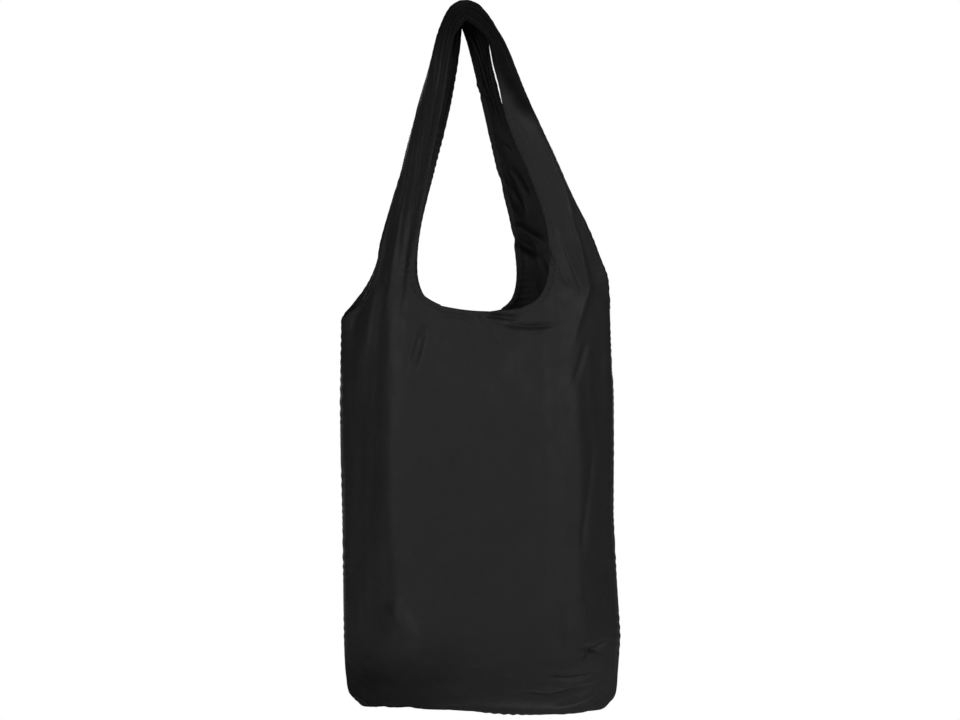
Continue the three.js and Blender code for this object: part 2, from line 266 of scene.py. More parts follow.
def lean_y(z):
    """Distance of a strap from the middle plane: the two loops lean together towards the hand."""
    share = np.clip(-z / LEAN_HEIGHT, 0, LEAN_MOST)
    return mix(STRAP_TOP_Y, SHOULDER_HALF_DEPTH - 1 * MM, share ** LEAN_CURVE)


# How a strap's cloth turns across its width, in degrees: 0 faces out, 90 is rolled to the side and
# 180 faces back. Each row is a height in millimetres, then the turn at even shares of the width.
APEX_TURN = [-20, 62, 5, 66, 60, 80, 120]
STRAP_TURNS = {
    "front_left": [(-215, 36, 46, 40, 46, 44, 52, 58), (-150, 40, 48, 42, 50, 50, 72, 120),
                   (-80, 46, 50, 42, 56, 58, 100, 165), (-30, 50, 52, 30, 58, 60, 105, 170),
                   (22, *APEX_TURN)],
    "front_right": [(-215, -18, 0, 4, -6, 22, 34, 46), (-130, -20, -8, 4, -12, 34, 80, 130),
                    (-92, -20, -10, 12, 50, 60, 100, 160), (-36, -26, 12, 58, 66, 72, 110, 170),
                    (22, *APEX_TURN)],
    "back_left": [(-215, 12, 14, -14, 10, 16, 30, 45), (-120, 50, 45, -20, 26, 40, 90, 140),
                  (-36, 60, 55, -10, 45, 70, 110, 170), (22, *APEX_TURN)],
    "back_right": [(-215, -20, 14, -16, 18, -10, 24, 40), (-150, -24, 20, -24, 22, 4, 30, 60),
                   (-80, -24, 16, -22, 20, 30, 70, 120), (-30, -20, 14, -14, 34, 60, 110, 160),
                   (22, *APEX_TURN)],
}
TURN_COUNT = 7  # turns in a row, after its height
TURN_STEPS = 8  # fine steps of the section for each column of the grid
TURN_EVEN = 21  # fine steps over which the turns are evened out, twice


def strap_section(turns, z):
    """Across and outward positions of a strap's section, from its inner edge, for a cloth width of 1."""
    table = np.array(turns, float)
    heights, columns = table[:, 0], table[:, 1:].T
    at_height = np.array([np.interp(z / MM, heights, column) for column in columns])
    fine = TURN_STEPS * EDGE_COLUMNS + 1
    angle = np.interp(np.linspace(0, 1, fine), np.linspace(0, 1, TURN_COUNT), at_height)
    for _ in range(2):
        padded = np.pad(angle, TURN_EVEN // 2, mode="edge")
        angle = np.convolve(padded, np.ones(TURN_EVEN) / TURN_EVEN, mode="valid")
    angle = np.radians(angle[:-1])
    across = np.concatenate([[0], np.cumsum(np.cos(angle))]) / (fine - 1)
    outward = np.concatenate([[0], np.cumsum(-np.sin(angle))]) / (fine - 1)
    return across[::TURN_STEPS], outward[::TURN_STEPS], across.max()


# How much of its turned depth a strap keeps: low down, and pressed together at the top.
STRAP_LOOSE = 0.9
STRAP_PRESSED = 0.62
STRAP_PRESS_STARTS = (-0.09, -0.01)


def strap_row(panel, hand, inner, outer):
    """Points of a bunched strap from its outer edge to its inner edge."""
    side = panel["side"]
    z = (inner[1] + outer[1]) / 2
    across, outward, reach = strap_section(STRAP_TURNS[panel["name"] + "_" + hand], z)
    direction = outer - inner
    width = np.linalg.norm(direction) / reach
    direction = direction / np.linalg.norm(direction)
    pressed = float(smooth(z, *STRAP_PRESS_STARTS))
    depth = outward * width * mix(STRAP_LOOSE, STRAP_PRESSED, pressed)
    middle_depth = (depth.max() + depth.min()) / 2
    y = side * (lean_y(z) + depth - middle_depth)
    x = inner[0] + across * width * direction[0]
    height = inner[1] + across * width * direction[1]
    return np.stack([x, y, height], axis=1)[::-1]


def loop_half(panel, hand):
    """One strap from the body's top row to the apex, rows of points from outer edge to inner edge."""
    outer_path = spline(np.array(panel[hand + "_outer"], float) * MM, STRAP_ROWS + 1)
    inner_path = spline(np.array(panel[hand + "_inner"], float) * MM, STRAP_ROWS + 1)
    rows = []
    for outer, inner in zip(outer_path, inner_path):
        on_strap = strap_row(panel, hand, inner, outer)
        from_outer = 0 if hand == "left" else 1
        outer_share = from_outer if len(rows) == 0 else share_at(panel["side"], outer[0], outer[1])
        inner_share = share_at(panel["side"], inner[0], inner[1])
        shares = np.linspace(outer_share, inner_share, EDGE_COLUMNS + 1)
        heights = np.linspace(outer[1], inner[1], EDGE_COLUMNS + 1)
        on_body = np.array([body_point(panel["side"], s, z, NO_TUCK) for s, z in zip(shares, heights)])
        z = (inner[1] + outer[1]) / 2
        rows.append(mix(on_body, on_strap, float(smooth(z, *STRAP_STARTS))))
    return np.array(rows)


def body_grid(panel):
    """Rows from the bottom seam to the neckline, columns from the left seam to the right one."""
    left = np.array(panel["left_inner"][0]) * MM
    right = np.array(panel["right_inner"][0]) * MM
    left_armpit = panel["left_outer"][0][1] * MM
    right_armpit = panel["right_outer"][0][1] * MM
    left_share = share_at(panel["side"], left[0], left[1])
    right_share = share_at(panel["side"], right[0], right[1])
    shares = np.concatenate([
        np.linspace(0, left_share, EDGE_COLUMNS + 1),
        np.linspace(left_share, right_share, MIDDLE_COLUMNS + 1)[1:],
        np.linspace(right_share, 1, EDGE_COLUMNS + 1)[1:],
    ])
    middle = np.linspace(0, 1, MIDDLE_COLUMNS + 1)[1:]
    tops = np.concatenate([
        np.linspace(left_armpit, left[1], EDGE_COLUMNS + 1),
        mix(left[1], right[1], middle) - panel["neckline_sag"] * MM * np.sin(math.pi * middle),
        np.linspace(right[1], right_armpit, EDGE_COLUMNS + 1)[1:],
    ])
    grid = np.zeros((BODY_ROWS + 1, len(shares), 3))
    for column, (share, top) in enumerate(zip(shares, tops)):
        low = bottom_at(BODY_X + (2 * share - 1) * HALF_WIDTH)
        for row in range(BODY_ROWS + 1):
            tuck_share = min(row / TUCK_ROWS, 1)
            up = max(row - TUCK_ROWS, 0) / (BODY_ROWS - TUCK_ROWS)
            tucked = low + TUCK * (1 - math.cos(tuck_share * math.pi / 2))
            grid[row, column] = body_point(panel["side"], share, mix(tucked, top, up), low)
    return grid


def panel_grids(panel):
    """A panel is two grids: the loop runs from the bottom left, over the apex, to the bottom right,
    with columns from the outer edge to the inner edge, and the middle fills it below the neckline."""
    body = body_grid(panel)
    left = loop_half(panel, "left")
    right = loop_half(panel, "right")
    up = np.concatenate([body[:-1, :EDGE_COLUMNS + 1], left])
    down = np.concatenate([body[:-1, -EDGE_COLUMNS - 1:][:, ::-1], right])[::-1]
    loop = np.concatenate([up, down[1:]])
    middle = body[:, EDGE_COLUMNS:EDGE_COLUMNS + MIDDLE_COLUMNS + 1]
    return loop, middle


# ---- meshes ----
def grid_index(shape):
    """Vertex numbers of a grid of that many rows and columns."""
    return np.arange(shape[0] * shape[1]).reshape(shape[:2])


def numbered(loop_shape, middle_shape):
    """Vertex numbers of both grids, where the middle's side columns are the loop's inner columns."""
    loop = grid_index(loop_shape)
    rows, columns = middle_shape[:2]
    middle = np.zeros((rows, columns), int)
    middle[:, 0] = loop[:rows, -1]
    middle[:, -1] = loop[::-1][:rows, -1]
    middle[:, 1:-1] = loop.size + grid_index((rows, columns - 2))
    return loop, middle


def quads(index, flip):
    a, b = index[:-1, :-1], index[:-1, 1:]
    c, d = index[1:, 1:], index[1:, :-1]
    faces = np.stack([a, b, c, d], axis=-1).reshape(-1, 4)
    return faces[:, ::-1] if flip else faces


def panel_faces(panel, loop_index, middle_index):
    flip = panel["side"] > 0
    return np.concatenate([quads(loop_index, flip), quads(middle_index, flip)])


def make_object(name, points, faces, material):
    mesh = bpy.data.meshes.new(name)
    mesh.from_pydata(np.asarray(points).tolist(), [], [list(map(int, f)) for f in faces])
    mesh.update()
    for polygon in mesh.polygons:
        polygon.use_smooth = True
    mesh.materials.append(material)
    piece = bpy.data.objects.new(name, mesh)
    bpy.context.scene.collection.objects.link(piece)
    return piece


def panel_points(loop, middle):
    return np.concatenate([loop.reshape(-1, 3), middle[:, 1:-1].reshape(-1, 3)])


def apply_modifiers(piece):
    graph = bpy.context.evaluated_depsgraph_get()
    mesh = bpy.data.meshes.new_from_object(piece.evaluated_get(graph), depsgraph=graph)
    piece.modifiers.clear()
    piece.data = mesh


def thicken(piece, thickness, inside=None):
    """Gives a sheet its thickness, half to each side. inside is its inner face's own material."""
    solid = piece.modifiers.new("thickness", "SOLIDIFY")
    solid.thickness = thickness
    solid.offset = 0
    if inside:
        solid.material_offset = 1
        piece.data.materials.append(inside)
    apply_modifiers(piece)


# ---- cloth simulation of the whole bag over the shopping it holds ----
SIM_FRAMES = 40
SIM_SLACK = 1.02  # spare width of the cloth at the shoulders
SIM_SLACK_STARTS = (-0.42, -0.31)
SIM_SLACK_ENDS = (-0.23, -0.2)
SIM_HELD = (-0.262, -0.215)  # from free to held in place, as the cloth goes up into the straps
SIM_SEWN_BELOW = -0.293  # below this height the panels' edges are sewn together
SIM_WELD = 0.05 * MM
SIM_JITTER = 0.04 * MM
SIM_EVEN = 5  # rounds of evening out, which take the grid's own crumples away
SIM_CAP = 14 * MM
CONTENTS_TOP = -0.335
CONTENTS_CAP = 0.05  # height of its rounded top
CONTENTS_LIFT = 9 * MM  # above the bottom seam
CONTENTS_INSET = 2.5 * MM
CONTENTS_TILT = -4 * MM


def contents_mesh():
    """What fills the bag while the cloth settles, a little inside it. It is removed afterwards."""
    turns, steps = 48, 70
    low, high = BOTTOM_Z + CONTENTS_LIFT, CONTENTS_TOP
    rings = []
    for step in range(steps + 1):
        z = mix(low, high, step / steps)
        front = rounded(panel_corners(-1, z, bottom_at(BODY_X)), turns + 1)
        back = rounded(panel_corners(1, z, bottom_at(BODY_X)), turns + 1)[::-1]
        ring = np.concatenate([front[:-1], back[:-1]])
        in_cap = max((z - high + CONTENTS_CAP) / CONTENTS_CAP, 0)
        closing = math.sqrt(max(1 - in_cap ** 2, 0.02))
        middle = np.array([sides_at(z)[0], 0])
        spread = np.abs(ring - middle)
        inset = np.minimum(CONTENTS_INSET / np.maximum(spread.max(axis=0), 1e-6), 0.5)
        ring = middle + (ring - middle) * (1 - inset) * closing
        tilt = CONTENTS_TILT * (ring[:, 0] - BODY_X) / HALF_WIDTH * (1 - step / steps)
        rings.append(np.column_stack([ring, z + tilt]))
    points = np.concatenate(rings)
    index = np.arange(len(points)).reshape(steps + 1, 2 * turns)
    index = np.concatenate([index, index[:, :1]], axis=1)
    faces = list(quads(index, False))
    faces += [list(index[0, :-1][::-1]), list(index[-1, :-1])]
    return points, faces


def settle(points, faces, held, rest):
    """Runs the cloth simulation and returns the settled points."""
    scene = bpy.context.scene
    bag = make_object("settling", points, faces, cloth)
    contents = make_object("contents", *contents_mesh(), cloth)
    bag.shape_key_add(name="Basis")
    rest_key = bag.shape_key_add(name="rest")
    rest_key.data.foreach_set("co", rest.astype(np.float32).ravel())
    group = bag.vertex_groups.new(name="held")
    for vertex, weight in enumerate(held):
        if weight > 0:
            group.add([vertex], float(weight), "REPLACE")
    contents.modifiers.new("solid", "COLLISION")
    contents.collision.thickness_outer = 1.0 * MM
    contents.collision.cloth_friction = 8
    fabric = bag.modifiers.new("fabric", "CLOTH")
    settings = fabric.settings
    settings.quality = 6
    settings.mass = 0.08
    settings.tension_stiffness = 30
    settings.compression_stiffness = 30
    settings.shear_stiffness = 8
    settings.bending_stiffness = 4
    settings.tension_damping = settings.compression_damping = settings.shear_damping = 8
    settings.bending_damping = 1
    settings.air_damping = 2
    settings.vertex_group_mass = "held"
    settings.pin_stiffness = 1
    settings.rest_shape_key = rest_key
    fabric.collision_settings.distance_min = 1.0 * MM
    fabric.collision_settings.use_self_collision = False
    fabric.point_cache.frame_start = 1
    fabric.point_cache.frame_end = SIM_FRAMES
    for number in range(1, SIM_FRAMES + 1):
        scene.frame_set(number)
    graph = bpy.context.evaluated_depsgraph_get()
    result = np.zeros(len(points) * 3, np.float32)
    bag.evaluated_get(graph).data.vertices.foreach_get("co", result)
    bpy.data.objects.remove(bag)
    bpy.data.objects.remove(contents)
    scene.frame_set(1)
    return result.reshape(-1, 3).astype(float)


def evened(values, faces, rounds):
    """Each vertex's value moved towards its neighbours' mean, rounds times."""
    edges = np.concatenate([faces[:, [0, 1]], faces[:, [1, 2]], faces[:, [2, 3]], faces[:, [3, 0]]])
    edges = np.concatenate([edges, edges[:, ::-1]])
    edges = edges[edges[:, 0] != edges[:, 1]]
    count = np.bincount(edges[:, 0], minlength=len(values))[:, None]
    for _ in range(rounds):
        total = np.zeros_like(values)
        np.add.at(total, edges[:, 0], values[edges[:, 1]])
        values = mix(values, total / np.maximum(count, 1), 0.5)
    return values


def settle_panels(grids):
    """Joins both panels at their seams, settles them as one cloth and gives the grids back."""
    all_points, all_faces, offset = [], [], 0
    for panel, (loop, middle) in grids:
        loop_index, middle_index = numbered(loop.shape, middle.shape)
        faces = panel_faces(panel, loop_index, middle_index)
        all_points.append(panel_points(loop, middle))
        all_faces.append(faces + offset)
        offset += len(all_points[-1])
    points = np.concatenate(all_points)
    faces = np.concatenate(all_faces)
    body = points[:, 2] < SIM_SEWN_BELOW
    keys = np.round(points / SIM_WELD).astype(int)
    own_key = 10 ** 6 * (1 + np.arange(len(points)))  # too far apart for two points to weld
    keys[~body, 0] += own_key[~body]
    _, first, welded = np.unique(keys, axis=0, return_index=True, return_inverse=True)
    welded = welded.ravel()
    start = points[first]
    rest = start.copy()
    slack = mix(1.0, SIM_SLACK, smooth(start[:, 2], *SIM_SLACK_STARTS))
    slack = mix(slack, 1.0, smooth(start[:, 2], *SIM_SLACK_ENDS))
    rest[:, 0] = BODY_X + (start[:, 0] - BODY_X) * slack
    rest[:, 1] = start[:, 1] * slack
    held = smooth(start[:, 2], *SIM_HELD)
    start = start + RANDOM.normal(0, SIM_JITTER, start.shape) * (1 - held[:, None])
    moved = settle(start, welded[faces], held, rest) - points[first]
    distance = np.linalg.norm(moved, axis=1, keepdims=True)
    moved = moved * np.minimum(1, SIM_CAP / np.maximum(distance, 1e-9))
    moved = evened(moved, welded[faces], SIM_EVEN)
    settled = points + moved[welded]
    result, offset = [], 0
    for panel, (loop, middle) in grids:
        loop_index, middle_index = numbered(loop.shape, middle.shape)
        own = settled[offset:offset + len(panel_points(loop, middle))]
        result.append((panel, (own[loop_index], own[middle_index])))
        offset += len(own)
    return result


# ---- materials ----
def add_node(tree, kind, inputs, **settings):
    """A new shader node. inputs gives each socket, by name or number, a value or another node's output."""
    node = tree.nodes.new("ShaderNode" + kind)
    for name, value in settings.items():
        setattr(node, name, value)
    for socket, value in inputs.items():
        if isinstance(value, bpy.types.NodeSocket):
            tree.links.new(value, node.inputs[socket])
        else:
            node.inputs[socket].default_value = value
    return node


def new_material(name, color, roughness):
    material = bpy.data.materials.new(name)
    material.use_nodes = True
    shader = material.node_tree.nodes["Principled BSDF"]
    shader.inputs["Base Color"].default_value = (*color, 1)
    shader.inputs["Roughness"].default_value = roughness
    return material, material.node_tree, shader


def object_place(tree):
    return add_node(tree, "TexCoord", {}).outputs["Object"]


def noise_value(tree, place, scale, detail):
    return add_node(tree, "TexNoise", {"Scale": scale, "Detail": detail, "Vector": place}).outputs["Fac"]


NOISE_LOW = 0.3  # most of a noise texture's values lie between these
NOISE_HIGH = 0.7


def ranged(tree, value, low, high):
    """Maps a noise value onto a range."""
    inputs = {"From Min": NOISE_LOW, "From Max": NOISE_HIGH, "To Min": low, "To Max": high, "Value": value}
    return add_node(tree, "MapRange", inputs).outputs["Result"]


def bumped(tree, height, below, distance, strength):
    """A normal with bumps over the one below it, if there is one."""
    inputs = {"Distance": distance, "Strength": strength, "Height": height}
    if below is not None:
        inputs["Normal"] = below
    return add_node(tree, "Bump", inputs).outputs["Normal"]


def color_between(tree, value, dark, light):
    ramp = add_node(tree, "ValToRGB", {"Fac": value})
    for element, place, color in zip(ramp.color_ramp.elements, (NOISE_LOW, NOISE_HIGH), (dark, light)):
        element.position = place
        element.color = (*color, 1)
    return ramp.outputs["Color"]


def math_node(tree, operation, *values):
    return add_node(tree, "Math", dict(enumerate(values)), operation=operation).outputs[0]


def map_smooth(tree, value, low, high):
    inputs = {"From Min": low, "From Max": high, "Value": value}
    return add_node(tree, "MapRange", inputs, interpolation_type="SMOOTHSTEP").outputs["Result"]


def blended(tree, share, color, other):
    """The color, turning into the other as share goes from 0 to 1."""
    return add_node(tree, "Mix", {0: share, 6: color, 7: (*other, 1)}, data_type="RGBA").outputs[2]


def weave_height(tree, place, pitch):
    """Threads across and up, each raised where it passes over the other."""
    inputs = {"Scale": math.pi / (10 * pitch), "Distortion": 0.6, "Detail": 1.0, "Vector": place}
    across, up = [add_node(tree, "TexWave", inputs, bands_direction=direction).outputs["Fac"]
                  for direction in ("X", "Z")]
    return math_node(tree, "MULTIPLY", across, up)


# Painted shade: where the cloth is crushed together in the hand, at the tops of the loops, and turned
# under the load at the lower left, its color is drawn near black. This paints the shade of the grip and of
# the load, where folds are too tight for light to come back out and finer than the model's.
# The grip begins at a slanting line across the right straps, given by a point and a direction.
GRIP_POINT = (28 * MM, 0, -27 * MM)
GRIP_DIRECTION = (0.843, 0, 0.542)
GRIP_STARTS = (-14 * MM, 3 * MM)  # beyond that line
GRIP_HEIGHTS = (-106 * MM, -86 * MM)
TOP_HEIGHTS = (-75 * MM, 12 * MM)  # towards the apex every strap gets darker, as painted shade
UNDERSIDE_HEIGHTS = (-630 * MM, -690 * MM)
UNDERSIDE_PLACES = (90 * MM, -110 * MM)
UNDERSIDE_SHADE_MOST = 0.8
RAGGED = 14 * MM  # how uneven the edges of these painted shade parts are
# Painted shade: the near-black color drawn there, and the extra roughness that dulls its highlights.
PAINTED_SHADE_BLACK = (0.0004, 0.0004, 0.0005)
PAINTED_SHADE_ROUGHER = 0.35


def grip_shade_share(tree, place, uneven_value):
    """Mask of painted shade: 1 where the loops are bunched tight in the hand and at their tops, 0 away
    from there.
    """
    offset = add_node(tree, "VectorMath", {0: place, 1: GRIP_POINT}, operation="SUBTRACT")
    beyond = add_node(tree, "VectorMath", {0: offset.outputs["Vector"], 1: GRIP_DIRECTION},
                      operation="DOT_PRODUCT")
    ragged = math_node(tree, "MULTIPLY_ADD", uneven_value, RAGGED, beyond.outputs["Value"])
    slanted = map_smooth(tree, ragged, *GRIP_STARTS)
    height = add_node(tree, "SeparateXYZ", {0: place}).outputs["Z"]
    high = map_smooth(tree, height, *GRIP_HEIGHTS)
    top = map_smooth(tree, height, *TOP_HEIGHTS)
    return math_node(tree, "MAXIMUM", math_node(tree, "MULTIPLY", slanted, high), top)


def underside_shade_share(tree, place, uneven_value):
    """Mask of painted shade, for how far the cloth turns under the load: most at the lower left, not at
    all at the right.
    """
    position = add_node(tree, "SeparateXYZ", {0: place}).outputs
    height = math_node(tree, "MULTIPLY_ADD", uneven_value, RAGGED, position["Z"])
    low = map_smooth(tree, height, *UNDERSIDE_HEIGHTS)
    left = map_smooth(tree, position["X"], *UNDERSIDE_PLACES)
    return math_node(tree, "MULTIPLY", low, left)


THREAD_PITCH = 0.45 * MM
WEAVE_DEPTH = 0.05 * MM
CRUMPLE_DEPTH = 1.2 * MM
CRUMPLE_STRETCH = 0.4  # the fine crumple is drawn out upwards, along the load's pull
DYE_SCALE = 24
GLOSS_SCALE = 60
CRUMPLE_SCALE = 130


def woven(name, dark, light, roughness, weave, crumple, painted_shade=None):
    """Cloth: uneven dye and gloss, a fine crumple, and the weave over it. The last argument, if given, is
    a near-black color painted as shade where the cloth is bunched tight in the hand or turned under."""
    material, tree, shader = new_material(name, light, roughness)
    place = object_place(tree)
    patches = noise_value(tree, place, DYE_SCALE, 4)
    color = color_between(tree, patches, dark, light)
    shine = noise_value(tree, place, GLOSS_SCALE, 3)
    gloss = ranged(tree, shine, roughness - 0.05, roughness + 0.06)
    if painted_shade:
        # Painted shade: the color turns near black, and rougher, at the grip and under the load.
        under = math_node(tree, "MULTIPLY", underside_shade_share(tree, place, patches), UNDERSIDE_SHADE_MOST)
        share = math_node(tree, "MAXIMUM", grip_shade_share(tree, place, patches), under)
        color = blended(tree, share, color, painted_shade)
        gloss = math_node(tree, "MULTIPLY_ADD", share, PAINTED_SHADE_ROUGHER, gloss)
    tree.links.new(color, shader.inputs["Base Color"])
    tree.links.new(gloss, shader.inputs["Roughness"])
    stretched = add_node(tree, "Mapping", {"Scale": (1, 1, CRUMPLE_STRETCH), "Vector": place})
    crumples = noise_value(tree, stretched.outputs["Vector"], CRUMPLE_SCALE, 5)
    normal = bumped(tree, crumples, None, CRUMPLE_DEPTH, crumple)
    normal = bumped(tree, weave_height(tree, place, THREAD_PITCH), normal, WEAVE_DEPTH, weave)
    tree.links.new(normal, shader.inputs["Normal"])
    return material, shader


def cloth_material():
    """Black polyester taffeta: a fine plain weave with a soft satin sheen, and painted shade where it is
    gripped or turned under.
    """
    material, shader = woven("taffeta", (0.0138, 0.0140, 0.0148), (0.0162, 0.0164, 0.0172), 0.56,
                             weave=0.35, crumple=0.35, painted_shade=PAINTED_SHADE_BLACK)
    shader.inputs["Sheen Weight"].default_value = 0.06
    shader.inputs["Sheen Roughness"].default_value = 0.35
    shader.inputs["Specular IOR Level"].default_value = 0.28
    return material


def inside_material():
    """The cloth's inner face: duller, as its coated side, and drawn about four times darker than the outer
    face as painted shade for the bag's inside.
    """
    material, shader = woven("taffeta_inside_shaded", (0.0032, 0.0033, 0.0036), (0.0042, 0.0043, 0.0046), 0.6,
                             weave=0.25, crumple=0.4)
    shader.inputs["Specular IOR Level"].default_value = 0.25
    return material


def hem_material():
    """The turned edge, drawn up by its stitches, so it crumples more. It has the same painted shade where
    it is gripped.
    """
    material, shader = woven("hem", (0.0118, 0.0120, 0.0126), (0.0150, 0.0152, 0.0158), 0.6,
                             weave=0.35, crumple=0.7, painted_shade=PAINTED_SHADE_BLACK)
    shader.inputs["Specular IOR Level"].default_value = 0.3
    return material


TWIST_PITCH = 0.35 * MM


def thread_material():
    """Polyester sewing thread, with its twist as fine slanting ridges."""
    material, tree, shader = new_material("thread", (0.022, 0.022, 0.023), 0.5)
    place = object_place(tree)
    twist = add_node(tree, "TexWave", {"Scale": math.pi / (5 * TWIST_PITCH), "Vector": place},
                     bands_direction="DIAGONAL")
    shade = noise_value(tree, place, 300, 2)
    tree.links.new(color_between(tree, shade, (0.017, 0.017, 0.018), (0.026, 0.026, 0.027)),
                   shader.inputs["Base Color"])
    tree.links.new(bumped(tree, twist.outputs["Fac"], None, 0.06 * MM, 0.6), shader.inputs["Normal"])
    return material


def enamel_material():
    """Dark enamelled metal of the press stud, rubbed in fine scratches."""
    material, tree, shader = new_material("enamelled_metal", (0.03, 0.03, 0.033), 0.35)
    place = object_place(tree)
    rubbed = noise_value(tree, place, 900, 4)
    tree.links.new(color_between(tree, rubbed, (0.024, 0.024, 0.027), (0.055, 0.055, 0.06)),
                   shader.inputs["Base Color"])
    tree.links.new(ranged(tree, rubbed, 0.28, 0.45), shader.inputs["Roughness"])
    tree.links.new(bumped(tree, noise_value(tree, place, 2500, 2), None, 0.02 * MM, 0.3),
                   shader.inputs["Normal"])
    shader.inputs["Metallic"].default_value = 0.9
    return material


cloth = cloth_material()
hem_cloth = hem_material()
thread = thread_material()
cloth_inside_shaded = inside_material()
enamel = enamel_material()


def finer_rows(grid):
    """Twice as many rows, on smooth curves through the given ones."""
    ends = np.concatenate([2 * grid[:1] - grid[1:2], grid, 2 * grid[-1:] - grid[-2:-1]])
    between = (9 * (ends[1:-2] + ends[2:-1]) - ends[:-3] - ends[3:]) / 16
    fine = np.empty((2 * len(grid) - 1,) + grid.shape[1:])
    fine[0::2] = grid
    fine[1::2] = between
    return fine


def finer_columns(grid):
    return finer_rows(grid.swapaxes(0, 1)).swapaxes(0, 1)


def finer_panel(loop, middle):
    loop = finer_columns(finer_rows(finer_rows(loop)))
    middle = finer_columns(finer_rows(finer_rows(middle)))
    middle[:, 0] = loop[:len(middle), -1]
    middle[:, -1] = loop[::-1][:len(middle), -1]
    return loop, middle


# ---- wrinkles and puckers ----
def point_normals(points, faces):
    across = np.cross(points[faces[:, 2]] - points[faces[:, 0]], points[faces[:, 3]] - points[faces[:, 1]])
    normals = np.zeros_like(points)
    for corner in range(4):
        np.add.at(normals, faces[:, corner], across)
    return normals / np.maximum(np.linalg.norm(normals, axis=1, keepdims=True), 1e-12)


def uneven(length, step, seed):
    """A smooth random curve over a length: returns a function of the distance along it."""
    values = np.random.default_rng(seed).uniform(-1, 1, int(length / step) + 4)

    def at(distance):
        place = np.clip(np.asarray(distance) / step, 0, len(values) - 2)
        low = place.astype(int)
        return mix(values[low], values[low + 1], smooth(place - low, 0, 1))
    return at


CREASE_SHARP = 0.3  # a crease rises over this share of its length, and fades away beyond the next one
CREASE_SOFT = 0.6


def crease(points, line, half_width, height):
    """Height that one crease adds: a ridge along a line seen from the front, fading at its ends."""
    line = np.array(line, float) * MM
    flat = points[:, [0, 2]]
    best = np.full(len(points), 1.0)
    share = np.zeros(len(points))
    lengths = np.linalg.norm(np.diff(line, axis=0), axis=1)
    start = distances(line)
    for number, (a, b) in enumerate(zip(line[:-1], line[1:])):
        along = np.clip((flat - a) @ (b - a) / lengths[number] ** 2, 0, 1)
        away = np.linalg.norm(flat - a - along[:, None] * (b - a), axis=1)
        nearer = away < best
        best[nearer] = away[nearer]
        share[nearer] = ((start[number] + along * lengths[number]) / start[-1])[nearer]
    fade = smooth(share, 0, CREASE_SHARP) * (1 - smooth(share, CREASE_SOFT, 1))
    return height * MM * np.exp(-(best / (half_width * MM)) ** 2) * fade


# Line, half width and height in millimetres: a negative height is a fold pressed in.
FRONT_CREASES = [
    ([(-76, -185), (-88, -245), (-104, -340)], 3.4, -1.1),
    ([(-66, -170), (-80, -262), (-94, -352)], 3.0, 1.0),
    ([(-58, -190), (-70, -270), (-80, -346)], 3.2, -1.1),
    ([(-60, -222), (-64, -275), (-68, -338)], 2.4, 1.1),
    ([(-92, -235), (-110, -290), (-126, -352)], 3.4, -1.2),
    ([(-86, -250), (-100, -300), (-113, -372)], 3.6, 1.0),
    ([(-47, -316), (-55, -345), (-64, -376)], 4.5, -4.6),
    ([(-58, -311), (20, -316), (108, -318)], 1.3, -0.6),
    ([(4, -304), (16, -320), (33, -342)], 1.9, -1.5),
    ([(12, -307), (34, -310), (60, -315)], 3.2, -5.0),
    ([(30, -317), (62, -321), (96, -319)], 2.4, -4.0),
    ([(56, -326), (72, -326), (90, -322)], 1.5, 1.0),
    ([(-54, -178), (-46, -178), (-38, -179)], 1.3, -1.4),
    ([(78, -112), (97, -160), (115, -212)], 3.4, 2.0),
    ([(74, -218), (86, -246), (98, -272)], 2.6, -3.4),
    ([(100, -182), (117, -235), (129, -280), (116, -320), (102, -360)], 4.0, 2.6),
    ([(88, -250), (98, -266), (112, -282)], 3.0, 1.8),
    ([(92, -208), (107, -248), (126, -292)], 3.2, -2.2),
    ([(128, -332), (120, -357), (109, -386)], 3.0, -1.9),
    ([(136, -436), (127, -500), (115, -580)], 3.4, -1.6),
    ([(112, -657), (132, -662), (152, -668)], 2.8, -3.2),
    ([(118, -673), (134, -664), (156, -652)], 3.0, -4.6),
    ([(75, -690), (110, -694), (152, -688)], 2.8, -4.0),
    ([(44, -708), (88, -713), (140, -702)], 3.0, -4.6),
    ([(66, -699), (108, -702), (150, -697)], 2.4, 1.6),
    ([(90, -726), (132, -718), (156, -698)], 3.0, 2.6),
    ([(76, -674), (100, -679), (126, -676)], 9.0, 2.8),
    ([(-134, -690), (-120, -698), (-100, -704)], 2.4, -2.4),
    ([(-84, -604), (-70, -630), (-50, -658)], 9.0, 4.6),
    ([(-200, -684), (-124, -694), (-66, -706)], 20.0, -6.0),
    ([(-14, -678), (26, -692), (62, -706)], 10.0, -4.6),
    ([(96, -600), (92, -640), (104, -672)], 9.0, -2.4),
]
